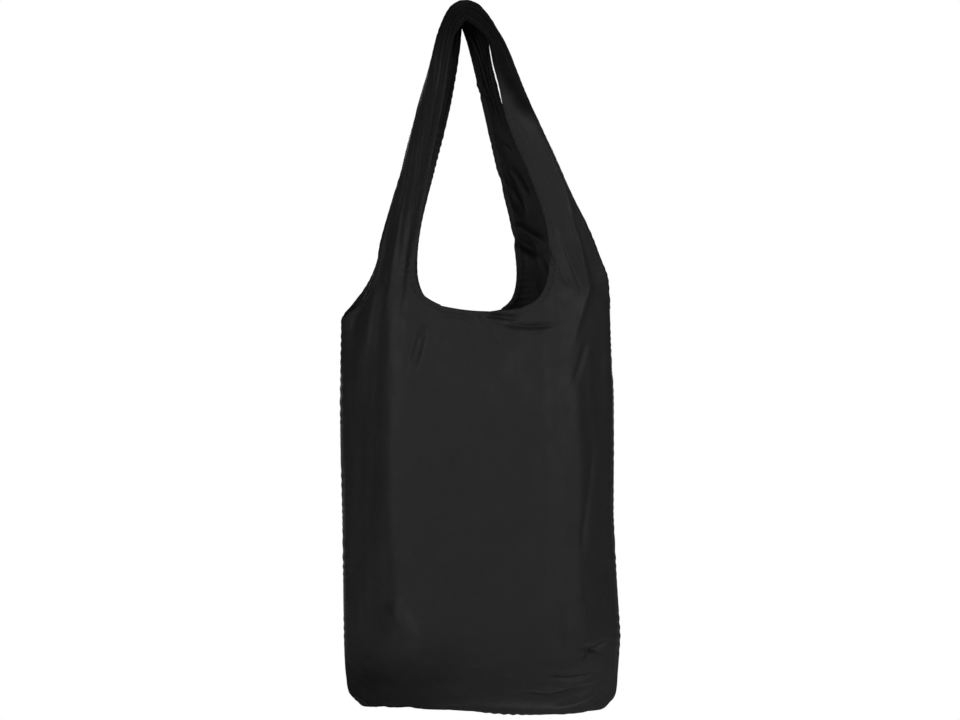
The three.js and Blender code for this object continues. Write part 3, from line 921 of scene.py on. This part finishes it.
BACK_CREASES = [
    ([(10, -54), (18, -60), (27, -67)], 1.8, 1.8),
    ([(14, -66), (22, -70), (30, -76)], 1.6, -1.4),
    ([(28, -108), (42, -118), (58, -132)], 2.0, 1.8),
    ([(30, -118), (42, -128), (56, -142)], 1.8, -1.6),
    ([(46, -138), (64, -160), (84, -194)], 5.0, 4.0),
    ([(38, -150), (56, -174), (74, -206)], 5.0, -6.0),
    ([(56, -206), (74, -216), (98, -232)], 4.5, 4.0),
    ([(50, -218), (68, -228), (92, -244)], 4.5, -5.0),
    ([(-70, -226), (-80, -275), (-94, -326)], 3.0, -1.6),
    ([(-60, -230), (-66, -280), (-72, -330)], 2.6, 1.5),
    ([(-50, -240), (-54, -285), (-58, -345)], 2.8, -1.7),
    ([(72, -230), (84, -270), (98, -330)], 3.0, -1.8),
    ([(84, -226), (98, -268), (112, -322)], 2.8, 1.8),
    ([(96, -240), (110, -275), (128, -320)], 2.8, -1.5),
    ([(-28, -311), (20, -316), (60, -313)], 1.3, -0.6),
    ([(10, -304), (0, -322), (-14, -345)], 1.9, -1.4),
    ([(-100, -420), (-92, -500), (-84, -590)], 3.4, -1.6),
    ([(118, -400), (108, -470), (98, -540)], 3.4, -1.6),
    ([(-118, -668), (-80, -674), (-40, -672)], 2.6, -2.0),
    ([(-124, -700), (-90, -706), (-50, -708)], 2.6, 1.6),
    ([(96, -690), (124, -696), (150, -704)], 2.6, -2.0),
    ([(40, -700), (70, -704), (112, -702)], 2.6, 1.5),
]


def lattice_noise(across, along, width, height, seed):
    """Smooth random values between -1 and 1 over a cloth, in cells of that width and height."""
    cells = 64
    values = np.random.default_rng(seed).uniform(-1, 1, (cells, cells))
    u, v = across / width, along / height
    column, row = np.floor(u).astype(int), np.floor(v).astype(int)
    s, t = smooth(u - column, 0, 1), smooth(v - row, 0, 1)

    def across_row(number):
        return mix(values[column % cells, number % cells], values[(column + 1) % cells, number % cells], s)
    return mix(across_row(row), across_row(row + 1), t)


# Cell width, cell height and rise in millimetres: the soft unevenness of thin cloth under a load.
CRUMPLES = [(31, 44, 0.55), (14, 19, 0.22), (9, 75, 0.22), (6, 8, 0.06)]


def crumple(points, centre, seed):
    """Soft unevenness all over a panel, measured along the cloth round to its side seams."""
    around = points[:, 0] + np.sign(points[:, 0] - centre) * (HALF_DEPTH - np.abs(points[:, 1]))
    total = np.zeros(len(points))
    for number, (width, height, rise) in enumerate(CRUMPLES):
        total += rise * MM * lattice_noise(around, points[:, 2], width * MM, height * MM, seed + number)
    return total


# Height of a strap, and how deep its bunched cloth is pleated there, in millimetres.
PLEAT_DEPTHS = [(-270, 0), (-215, 0.2), (-150, 0.3), (-80, 0.6), (-40, 1.2), (-10, 1.9), (22, 2.1)]
PLEATS = 4
LEFT_PLEATS = 0.9  # the left straps are bunched more than the right ones
RIGHT_PLEATS = 0.7
PLEATS_CHANGE = (0.44, 0.56)  # shares of the loop's length, either side of the apex
PLEAT_DRIFT = 0.8  # how far the pleats wander across the strap, in pleats
PLEAT_EDGE = 0.1  # share of the width over which they flatten out towards each edge


def strap_pleats(panel, loop, middle_rows):
    """Height of the lengthwise pleats that bunch each strap, deepest where it is gripped."""
    rows = np.arange(len(loop))
    on_strap = (rows >= middle_rows) & (rows <= len(loop) - middle_rows)
    z = loop[:, :, 2].mean(axis=1) / MM
    table = np.array(PLEAT_DEPTHS, float)
    hand = mix(LEFT_PLEATS, RIGHT_PLEATS, smooth(rows / len(loop), *PLEATS_CHANGE))
    depth = np.interp(z, table[:, 0], table[:, 1]) * MM * on_strap * hand
    share = np.linspace(0, 1, loop.shape[1])[None, :]
    along = distances(loop[:, EDGE_COLUMNS])[:, None]
    seed = 41 if panel["side"] < 0 else 45
    drift = PLEAT_DRIFT * uneven(2.0, 0.05, seed)(along + 0.4 * share)
    turn = 2 * math.pi * (share * PLEATS + drift)
    pleats = 0.7 * np.sin(turn) + 0.3 * np.sin(0.57 * turn + 3 * uneven(2.0, 0.07, seed + 1)(along))
    strength = 0.8 + 0.5 * uneven(2.0, 0.03, seed + 2)(along + 0.3 * share)
    edges = smooth(share, 0, PLEAT_EDGE) * (1 - smooth(share, 1 - PLEAT_EDGE, 1))
    return depth[:, None] * pleats * strength * edges


PUCKER_LENGTH = 10 * MM


def pucker(distance, along, seed):
    """The small waves that a seam draws a cloth into, fading away from it."""
    strength = 0.55 + 0.65 * uneven(0.5, 0.023, seed)(along)
    phase = 5.0 * uneven(0.5, 0.031, seed + 1)(along)
    reach = (9 + 5 * uneven(0.5, 0.017, seed + 2)(along)) * MM  # 4 to 14 mm
    return strength * np.exp(-(distance / reach)) * np.sin(2 * math.pi * along / PUCKER_LENGTH + phase)


def edge_distances(loop, middle):
    """For every point of a panel: how far it is from its armhole edge and from its neck edge, and
    how far along that edge, with a seed for each."""
    from_outer = distances(loop.swapaxes(0, 1)).T
    from_inner = from_outer[:, -1:] - from_outer
    rows = np.arange(len(loop))
    on_body = (rows < len(middle)) | (rows > len(loop) - len(middle))
    far = 10.0
    from_outer[on_body] = far
    from_inner[on_body] = far
    loop_along = np.broadcast_to(distances(loop[:, 0])[:, None], from_outer.shape) % 0.5
    from_top = distances(middle[::-1])[::-1]
    middle_along = middle[:, :, 0] + 0.2
    blank = np.full(from_top.shape, far)

    def joined(loop_values, middle_values):
        return np.concatenate([loop_values.ravel(), middle_values[:, 1:-1].ravel()])
    along = joined(loop_along, middle_along)
    return [(joined(from_outer, blank), along, 51), (joined(from_inner, from_top), along, 61)]


SEAM_HOLD = 9 * MM  # within this distance a seam holds the cloth, and creases fade towards it


def seam_distances(loop, middle):
    """For every point of a panel: how far along the cloth it is from the nearest side or bottom seam."""
    across = distances(loop.swapaxes(0, 1)).T
    up = distances(loop)
    rows = len(middle)
    past_armpit = np.minimum(up[:, :1] - up[rows - 1, 0], up[len(loop) - rows, 0] - up[:, :1])
    side = np.hypot(across, np.maximum(past_armpit, 0))
    bottom = np.minimum(up, up[-1:] - up)
    return np.concatenate([np.minimum(side, bottom).ravel(), distances(middle)[:, 1:-1].ravel()])


NEAR_BOTTOM = (0.03, 0.11)  # heights above the bottom seam between which its own crumple fades out
BOTTOM_CRUMPLE = 2.4 * MM
BOTTOM_CRUMPLE_CELL = (0.048, 0.03)
BELOW_ARMPITS = (-0.330, -0.306)  # the side seams' puckers fade out between these heights
SIDE_PUCKER = 0.5 * MM
BOTTOM_PUCKER = 0.8 * MM
EDGE_PUCKER = 0.32 * MM
EDGE_PUCKER_REACH = 0.06
AT_SEAM = 4 * MM  # within this distance of a seam, its puckers move the seam itself


def wrinkled(panel, loop, middle, faces, loop_index, middle_index):
    """Adds what a coarse simulation leaves out: puckered seams, pressed creases and a faint crumple."""
    points = panel_points(loop, middle)
    normals = point_normals(points, faces)
    side = panel["side"]
    height = np.zeros(len(points))
    for line, half_width, rise in (FRONT_CREASES if side < 0 else BACK_CREASES):
        height += crease(points, line, half_width, rise)
    low = np.array([bottom_at(x) for x in points[:, 0]])
    height += crumple(points, BODY_X, 101 if side < 0 else 111)
    pleated = strap_pleats(panel, loop, len(middle))
    height[:pleated.size] += pleated.ravel()
    near_bottom = 1 - smooth(points[:, 2] - low, *NEAR_BOTTOM)
    uneven_bottom = lattice_noise(points[:, 0], points[:, 2], *BOTTOM_CRUMPLE_CELL, 121 + side)
    height += BOTTOM_CRUMPLE * near_bottom * uneven_bottom
    height *= smooth(seam_distances(loop, middle), 0, SEAM_HOLD)
    centre = np.interp(points[:, 2], SIDE_LINES[:, 0], SIDE_LINES[:, 1:].mean(axis=1))
    half = np.interp(points[:, 2], SIDE_LINES[:, 0], (SIDE_LINES[:, 2] - SIDE_LINES[:, 1]) / 2)
    below = 1 - smooth(points[:, 2], *BELOW_ARMPITS)
    sideways = np.zeros(len(points))
    for hand, seed in ((-1, 11), (1, 23)):
        away = np.hypot(np.maximum(half - hand * (points[:, 0] - centre), 0), points[:, 1])
        wave = SIDE_PUCKER * pucker(away, points[:, 2] - BOTTOM_Z + 0.02, seed) * below
        at_seam = np.exp(-away / AT_SEAM)
        sideways += hand * wave * at_seam
        height += wave * (1 - at_seam)
    from_bottom = np.hypot(points[:, 2] - low, points[:, 1])
    wave = BOTTOM_PUCKER * pucker(from_bottom, points[:, 0] + 0.2, 37)
    at_seam = np.exp(-from_bottom / AT_SEAM)
    upright = -wave * at_seam
    height += wave * (1 - at_seam)
    for distance, along, seed in edge_distances(loop, middle):
        height += EDGE_PUCKER * pucker(distance, along, seed) * (distance < EDGE_PUCKER_REACH)
    result = points + normals * height[:, None]
    result[:, 0] += sideways
    result[:, 2] += upright
    return result[loop_index], result[middle_index]


# ---- folded and stitched edges ----
HEM_WIDTH = 6 * MM
HEM_STITCH = 3 * MM
HEM_THICK = (0.36, 0.46, 0.48, 0.38, 0.17)  # half its thickness in millimetres, from the fold inwards
HEM_WAVY = (0, 0.4, 1, 1, 0)  # share of the wave between stitches that each of those lines has
HEM_NOSE = 0.35  # how far the fold stands out past the cloth's edge, in steps


def hem_rows(edge, surface, closed, width):
    """Lines on the cloth at even steps in from its edge, with the cloth's normals along them."""
    if closed:
        along = np.roll(edge, -1, axis=0) - np.roll(edge, 1, axis=0)
    else:
        along = np.gradient(edge, axis=0)
    along = unit_rows(along)
    found = [surface.find_nearest(Vector(p)) for p in edge]
    normals = even_line(np.array([tuple(f[1]) for f in found]), closed)
    inward = np.cross(normals, along)
    trial = [np.mean([surface.find_nearest(Vector(p))[3] for p in (edge + sign * 3 * MM * inward)[::9]])
             for sign in (1, -1)]
    sign = 1 if trial[0] < trial[1] else -1
    rows, row_normals, here = [edge], [normals], edge
    for _ in range(4):
        inward = sign * np.cross(normals, along)
        found = [surface.find_nearest(Vector(p)) for p in here + inward * width / 4]
        here = even_line(np.array([tuple(f[0]) for f in found]), closed, unit=False)
        normals = even_line(np.array([tuple(f[1]) for f in found]), closed)
        rows.append(here)
        row_normals.append(normals)
    return rows, row_normals, along


def even_line(values, closed, unit=True):
    for _ in range(3):
        if closed:
            values = (np.roll(values, 1, axis=0) + 2 * values + np.roll(values, -1, axis=0)) / 4
        else:
            inner = (values[:-2] + 2 * values[1:-1] + values[2:]) / 4
            values = np.concatenate([values[:1], inner, values[-1:]])
    if unit:
        values = values / np.maximum(np.linalg.norm(values, axis=1, keepdims=True), 1e-9)
    return values


def make_hem(name, edge, surface, closed, width, attach):
    """A narrow hem: the cloth's edge turned over on itself and stitched down."""
    length = length_of(edge)
    count = int(length / (1 * MM))
    edge = resample(edge, count + (1 if closed else 0))
    if closed:
        edge = edge[:-1]
    rows, normals, along = hem_rows(edge, surface, closed, width)
    distance = np.arange(len(edge)) * length / len(edge)
    wave = 0.07 * MM * np.cos(2 * math.pi * distance / HEM_STITCH)
    wave += 0.05 * MM * uneven(length, 5 * MM, 71)(distance)
    thick = [half * MM + wavy * wave for half, wavy in zip(HEM_THICK, HEM_WAVY)]
    nose = edge - (rows[1] - edge) * HEM_NOSE
    ring = [rows[i] + normals[i] * thick[i][:, None] for i in range(4, -1, -1)]
    ring += [nose]
    ring += [rows[i] - normals[i] * thick[i][:, None] for i in range(5)]
    grid = np.stack(ring, axis=1)
    index = grid_index(grid.shape)
    index = np.concatenate([index, index[:, :1]], axis=1)
    faces = []
    if closed:
        index = np.concatenate([index, index[:1]])
    else:
        faces = [list(index[0, :-1]), list(index[-1, :-1][::-1])]
    faces = list(quads(index, False)) + faces
    piece = make_object(name + "_hem", grid.reshape(-1, 3), faces, hem_cloth)
    fix_outward(piece)
    threads = make_stitches(name + "_stitches", rows[3], normals[3], along, distance, thick[3])
    for part in (piece, threads):
        attach(part)
    return piece, threads


def fix_outward(piece):
    """Turns a closed mesh's faces outward."""
    mesh = piece.data
    work = bmesh.new()
    work.from_mesh(mesh)
    bmesh.ops.recalc_face_normals(work, faces=work.faces)
    work.to_mesh(mesh)
    work.free()


STITCH_HALF = 1.05 * MM
STITCH_SINK = 0.12 * MM  # a stitch's ends go into the cloth
THREAD_RADIUS = 0.21 * MM
STITCH_PROFILE = ((-1, 0.1), (-0.55, 1.0), (0.55, 1.0), (1, 0.1))  # place along a stitch, and thickness


def make_stitches(name, line, normals, along, distance, thick):
    """Short threads that lie on both faces of a hem."""
    points, faces = [], []
    total = distance[-1]
    for number in range(int(total / HEM_STITCH)):
        middle = (number + 0.5) * HEM_STITCH
        at = int(np.searchsorted(distance, middle))
        if at >= len(line):
            break
        for face in (1, -1):
            centre = line[at] + face * normals[at] * (thick[at] + 0.05 * MM)
            across = np.cross(normals[at], along[at])
            start = len(points)
            for step, size in STITCH_PROFILE:
                sunk = STITCH_SINK * (abs(step) == 1)
                place = centre + along[at] * step * STITCH_HALF - face * normals[at] * sunk
                for turn in range(6):
                    angle = turn * math.pi / 3
                    offset = normals[at] * math.cos(angle) + across * math.sin(angle)
                    points.append(place + offset * size * THREAD_RADIUS)
            for row in range(3):
                for turn in range(6):
                    a, b = start + row * 6 + turn, start + row * 6 + (turn + 1) % 6
                    faces.append((a, b, b + 6, a + 6))
            faces.append(tuple(start + turn for turn in range(5, -1, -1)))
            faces.append(tuple(start + 18 + turn for turn in range(6)))
    piece = make_object(name, points, faces, thread)
    fix_outward(piece)
    return piece


def blend_handle(piece):
    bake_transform(piece)


CLOTH_THICKNESS = 0.4 * MM


def make_panel(panel, loop, middle):
    """Returns the cloth, its hems, and its seam edges: left, bottom and right."""
    loop, middle = finer_panel(loop, middle)
    loop_index, middle_index = numbered(loop.shape, middle.shape)
    faces = panel_faces(panel, loop_index, middle_index)
    loop, middle = wrinkled(panel, loop, middle, faces, loop_index, middle_index)
    points = panel_points(loop, middle)
    surface = BVHTree.FromPolygons(points.tolist(), faces.tolist())
    left, right = len(middle) - 1, len(loop) - len(middle)
    neck = np.concatenate([middle[-1], loop[left:right, -1][::-1]])
    arms = loop[left:right + 1, 0]

    def attach(part):
        blend_handle(part)
    hems = make_hem(panel["name"] + "_neck", neck, surface, True, HEM_WIDTH, attach)
    hems += make_hem(panel["name"] + "_armhole", arms, surface, False, HEM_WIDTH, attach)
    piece = make_object(panel["name"] + "_cloth", points, faces, cloth)
    thicken(piece, CLOTH_THICKNESS, inside=cloth_inside_shaded)
    for polygon in piece.data.polygons:
        polygon.use_smooth = True
    attach(piece)
    bottom = np.concatenate([loop[0], middle[0, 1:-1], loop[-1][::-1]])
    return piece, hems, (loop[:left + 1, 0], bottom, loop[right:, 0][::-1])


grids = [(panel, panel_grids(panel)) for panel in (FRONT, BACK)]
grids = settle_panels(grids)
front_cloth, front_hems, seam_edges = make_panel(FRONT, *grids[0][1])
back_cloth, back_hems, _ = make_panel(BACK, *grids[1][1])
HANDLE_PARTS = ("left_strap", "right_strap", "top_seam", "inner_binding", "outer_binding")
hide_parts("front_panel", "front_neck_binding", "left_armhole_binding",
            "right_armhole_binding", *("front_handle_" + part for part in HANDLE_PARTS))
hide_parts("back_panel", "back_neck_binding",
            *("back_handle_" + part for part in HANDLE_PARTS))


# ---- the panels' joined edges, turned in and overlocked ----
ALLOWANCE_WIDTH = 7.5 * MM
ALLOWANCE_THICKNESS = 0.9 * MM
ALLOWANCE_STEP = 2 * MM


def make_allowance(node, edge, inward, seed):
    """A double strip of cloth along a seam, inside the bag."""
    low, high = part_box(node)
    axis = 0 if inward[2] else 2
    kept = edge[(edge[:, axis] > low[axis]) & (edge[:, axis] < high[axis])]
    count = int(length_of(kept) / ALLOWANCE_STEP)
    line = resample(kept, count)
    inward = np.array(inward, float)
    distance = np.arange(count) * ALLOWANCE_STEP
    wave = 0.8 * MM * uneven(0.5, 7 * MM, seed)(distance) + 0.5 * MM * np.sin(distance / (1.6 * MM))
    rows = []
    for step in np.linspace(0.02, 1, 6):
        row = line + inward * step * ALLOWANCE_WIDTH
        row[:, 1] += wave * step
        rows.append(row)
    grid = np.stack(rows, axis=1)
    faces = quads(grid_index(grid.shape), False)
    strip = make_object(node + "_allowance", grid.reshape(-1, 3), faces, hem_cloth)
    thicken(strip, ALLOWANCE_THICKNESS)
    along = np.gradient(rows[4], axis=0)
    along = unit_rows(along)
    normals = np.tile([0.0, 1.0, 0.0], (count, 1))
    half_thick = np.full(count, ALLOWANCE_THICKNESS / 2)
    threads = make_stitches(node + "_overlock", rows[4], normals, along, distance, half_thick)
    for part in (strip, threads):
        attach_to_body(part, "bag")
    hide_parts(node)
    return strip, threads


left_edge, bottom_edge, right_edge = seam_edges
allowances = make_allowance("left_side_seam", left_edge, (1, 0, 0), 81)
allowances += make_allowance("right_side_seam", right_edge, (-1, 0, 0), 83)
allowances += make_allowance("bottom_seam", bottom_edge, (0, 0, 1), 85)


# ---- the storage pouch that hangs inside the front neckline ----
POUCH_LOW, POUCH_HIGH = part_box("pouch_back_layer")
POUCH_CENTRE = (POUCH_LOW.x + POUCH_HIGH.x) / 2
POUCH_HALF = (POUCH_HIGH.x - POUCH_LOW.x) / 2
POUCH_CORNER = 12 * MM
POUCH_BACK_Y = (POUCH_LOW.y + POUCH_HIGH.y) / 2
POUCH_FACE_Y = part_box("pouch_mouth_hem")[0].y + 0.6 * MM
POUCH_SEWN_Z = POUCH_HIGH.z + 4.5 * MM
POUCH_COLUMNS = 56
POUCH_ROWS = 44
GUSSET = 4  # columns in each side wall of the front layer
POUCH_GAP = 0.5 * MM  # between the two layers at the walls' foot
POUCH_INSET = 0.3 * MM  # the front layer is this much smaller at the sides and bottom
WALL_LEAN = 0.8 * MM
WALL_TUCK = 1.6 * MM  # the walls fold inwards by this much
POUCH_ROUND = 7 * MM  # height over which its bottom rounds out
BELOW_MOUTH = (0.012, 0.03)  # below the mouth, the face starts to wave between these distances
MOUTH_HEM_WIDTH = 12 * MM


def pouch_half_at(z):
    return POUCH_HALF - corner_inset(z - POUCH_LOW.z, POUCH_CORNER)


def sheet_piece(name, grid):
    piece = make_object(name, grid.reshape(-1, 3), quads(grid_index(grid.shape), False), cloth)
    thicken(piece, CLOTH_THICKNESS)
    return piece


def make_pouch_back():
    """The layer against the bag's front. Its top edge is sewn to the bag below the neckline."""
    front = BVHTree.FromPolygons([v.co[:] for v in front_cloth.data.vertices],
                                 [p.vertices[:] for p in front_cloth.data.polygons])
    heights = np.linspace(POUCH_LOW.z, POUCH_HIGH.z, POUCH_ROWS + 1)
    sewn = np.linspace(POUCH_HIGH.z, POUCH_SEWN_Z, 5)[1:]
    across = np.linspace(-1, 1, POUCH_COLUMNS + 1)
    rows = []
    for z in np.concatenate([heights, sewn]):
        x = POUCH_CENTRE + across * pouch_half_at(z)
        y = POUCH_BACK_Y + 0.25 * MM * lattice_noise(x, np.full_like(x, z), 17 * MM, 13 * MM, 91)
        if z > POUCH_HIGH.z:
            share = (z - POUCH_HIGH.z) / (POUCH_SEWN_Z - POUCH_HIGH.z)
            hits = [front.ray_cast(Vector((px, 0, z)), Vector((0, -1, 0)))[0] for px in x]
            seam_y = np.array([hit.y + 0.5 * MM if hit else POUCH_BACK_Y for hit in hits])
            y = mix(y, seam_y, share)
        rows.append(np.stack([x, y, np.full_like(x, z)], axis=1))
    piece = sheet_piece("pouch_back_cloth", np.array(rows))
    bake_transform(piece)
    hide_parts("pouch_back_layer")


def make_pouch_front():
    """The layer with the mouth. Narrow side walls join it to the back layer."""
    heights = np.linspace(POUCH_LOW.z + POUCH_INSET, POUCH_HIGH.z, POUCH_ROWS + 1)
    depth = POUCH_FACE_Y - POUCH_BACK_Y - POUCH_GAP
    rows = []
    for z in heights:
        half = pouch_half_at(z) - POUCH_INSET
        wall = np.linspace(0, 1, GUSSET + 1)
        tuck = WALL_TUCK * np.sin(math.pi * wall)
        face = np.linspace(-1, 1, POUCH_COLUMNS + 1 - 2 * GUSSET)[1:-1] * (half - WALL_LEAN)
        x = np.concatenate([-half + WALL_LEAN * wall + tuck, face, (half - WALL_LEAN * wall - tuck)[::-1]])
        lift = np.concatenate([wall, np.ones(len(face)), wall[::-1]])
        rounding = math.sqrt(1 - (1 - min((z - heights[0]) / POUCH_ROUND, 1)) ** 2)
        x = POUCH_CENTRE + x
        waves = 0.5 * MM * lattice_noise(x, np.full_like(x, z), 19 * MM, 23 * MM, 95)
        away = smooth(POUCH_HIGH.z - z, *BELOW_MOUTH) * smooth(lift, 0.9, 1)
        y = POUCH_BACK_Y + POUCH_GAP + np.minimum(lift, rounding) * depth + waves * away
        rows.append(np.stack([x, y, np.full_like(x, z)], axis=1))
    grid = np.array(rows)
    mouth = grid[-1, GUSSET:-GUSSET]
    faces = quads(grid_index(grid.shape), False)
    surface = BVHTree.FromPolygons(grid.reshape(-1, 3).tolist(), faces.tolist())

    def attach(part):
        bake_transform(part)
    hems = make_hem("pouch_mouth_edge", mouth, surface, False, MOUTH_HEM_WIDTH, attach)
    piece = sheet_piece("pouch_front_cloth", grid)
    attach(piece)
    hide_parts("pouch_front_layer", "pouch_mouth_hem")


make_pouch_back()
make_pouch_front()
for snap in ("snap_cap", "snap_socket", "snap_stud", "snap_post"):
    for slot in bpy.data.objects[snap].material_slots:
        slot.material = enamel


# ---- camera, floor and lights ----
def make_camera():
    """At the photograph's viewing angle: level, a little to the left of straight on."""
    azimuth = math.radians(-8)
    distance = 2.3
    target = Vector((BODY_X + 0.0026, 0, -0.356))
    back = Vector((math.sin(azimuth), -math.cos(azimuth), 0))
    data = bpy.data.cameras.new("camera")
    data.sensor_width = 36
    data.lens = 80.8
    data.clip_end = 50
    camera = bpy.data.objects.new("camera", data)
    camera.location = target + distance * back
    camera.rotation_euler = (-back).to_track_quat("-Z", "Y").to_euler()
    bpy.context.scene.collection.objects.link(camera)
    bpy.context.scene.camera = camera


# The floor is pale to look at, and throws little of that light back up on the cloth.
FLOOR_GLOW_SEEN = 0.4
FLOOR_GLOW = 0.03
FLOOR_HALF = 2.3
FLOOR_BELOW = 0.45  # below the bag's bottom


def make_floor():
    half = FLOOR_HALF
    z = BOTTOM_Z - FLOOR_BELOW
    points = [(-half, -half, z), (half, -half, z), (half, half, z), (-half, half, z)]
    material, tree, shader = new_material("floor", (0.90, 0.90, 0.90), 0.9)
    path = add_node(tree, "LightPath", {})
    glow = math_node(tree, "MULTIPLY_ADD", path.outputs["Is Camera Ray"], FLOOR_GLOW_SEEN, FLOOR_GLOW)
    shader.inputs["Emission Color"].default_value = (1, 1, 1, 1)
    tree.links.new(glow, shader.inputs["Emission Strength"])
    floor = make_object("floor", points, [(0, 1, 2, 3)], material)


LIGHT_TARGET = (0.015, 0, -0.4)


def area_light(name, position, size, power):
    data = bpy.data.lights.new(name, "AREA")
    data.shape = "RECTANGLE"
    data.size, data.size_y = size
    data.energy = power
    light = bpy.data.objects.new(name, data)
    light.location = position
    light.visible_camera = False
    toward = Vector(LIGHT_TARGET) - Vector(position)
    light.rotation_euler = toward.to_track_quat("-Z", "Y").to_euler()
    bpy.context.scene.collection.objects.link(light)


WORLD_LIGHT = 0.06
WORLD_SEEN = 1.0


def make_world():
    """Plain white all round for the camera, and a weak even light for the cloth."""
    world = bpy.data.worlds.new("studio")
    bpy.context.scene.world = world
    world.use_nodes = True
    tree = world.node_tree
    tree.nodes.clear()
    seen_by_camera = add_node(tree, "LightPath", {}).outputs["Is Camera Ray"]
    white = (1, 1, 1, 1)
    light, backdrop = [add_node(tree, "Background", {"Color": white, "Strength": strength}).outputs[0]
                       for strength in (WORLD_LIGHT, WORLD_SEEN)]
    blend = add_node(tree, "MixShader", {0: seen_by_camera, 1: light, 2: backdrop})
    add_node(tree, "OutputWorld", {"Surface": blend.outputs[0]})


make_camera()
make_floor()
area_light("key", (-1.6, -2.4, 0.4), (1.0, 1.2), 22)
area_light("fill", (1.9, -2.2, 0.4), (1.2, 1.4), 24)
area_light("front", (0.0, -2.9, 0.3), (1.2, 1.2), 4)
area_light("back_left", (-1.0, 2.8, 0.1), (1.2, 1.4), 15)
area_light("back_right", (1.1, 2.8, 0.1), (1.2, 1.4), 15)
area_light("above", (0.0, 0.4, 2.6), (1.6, 1.6), 10)
make_world()
bpy.context.scene.view_settings.view_transform = "Standard"
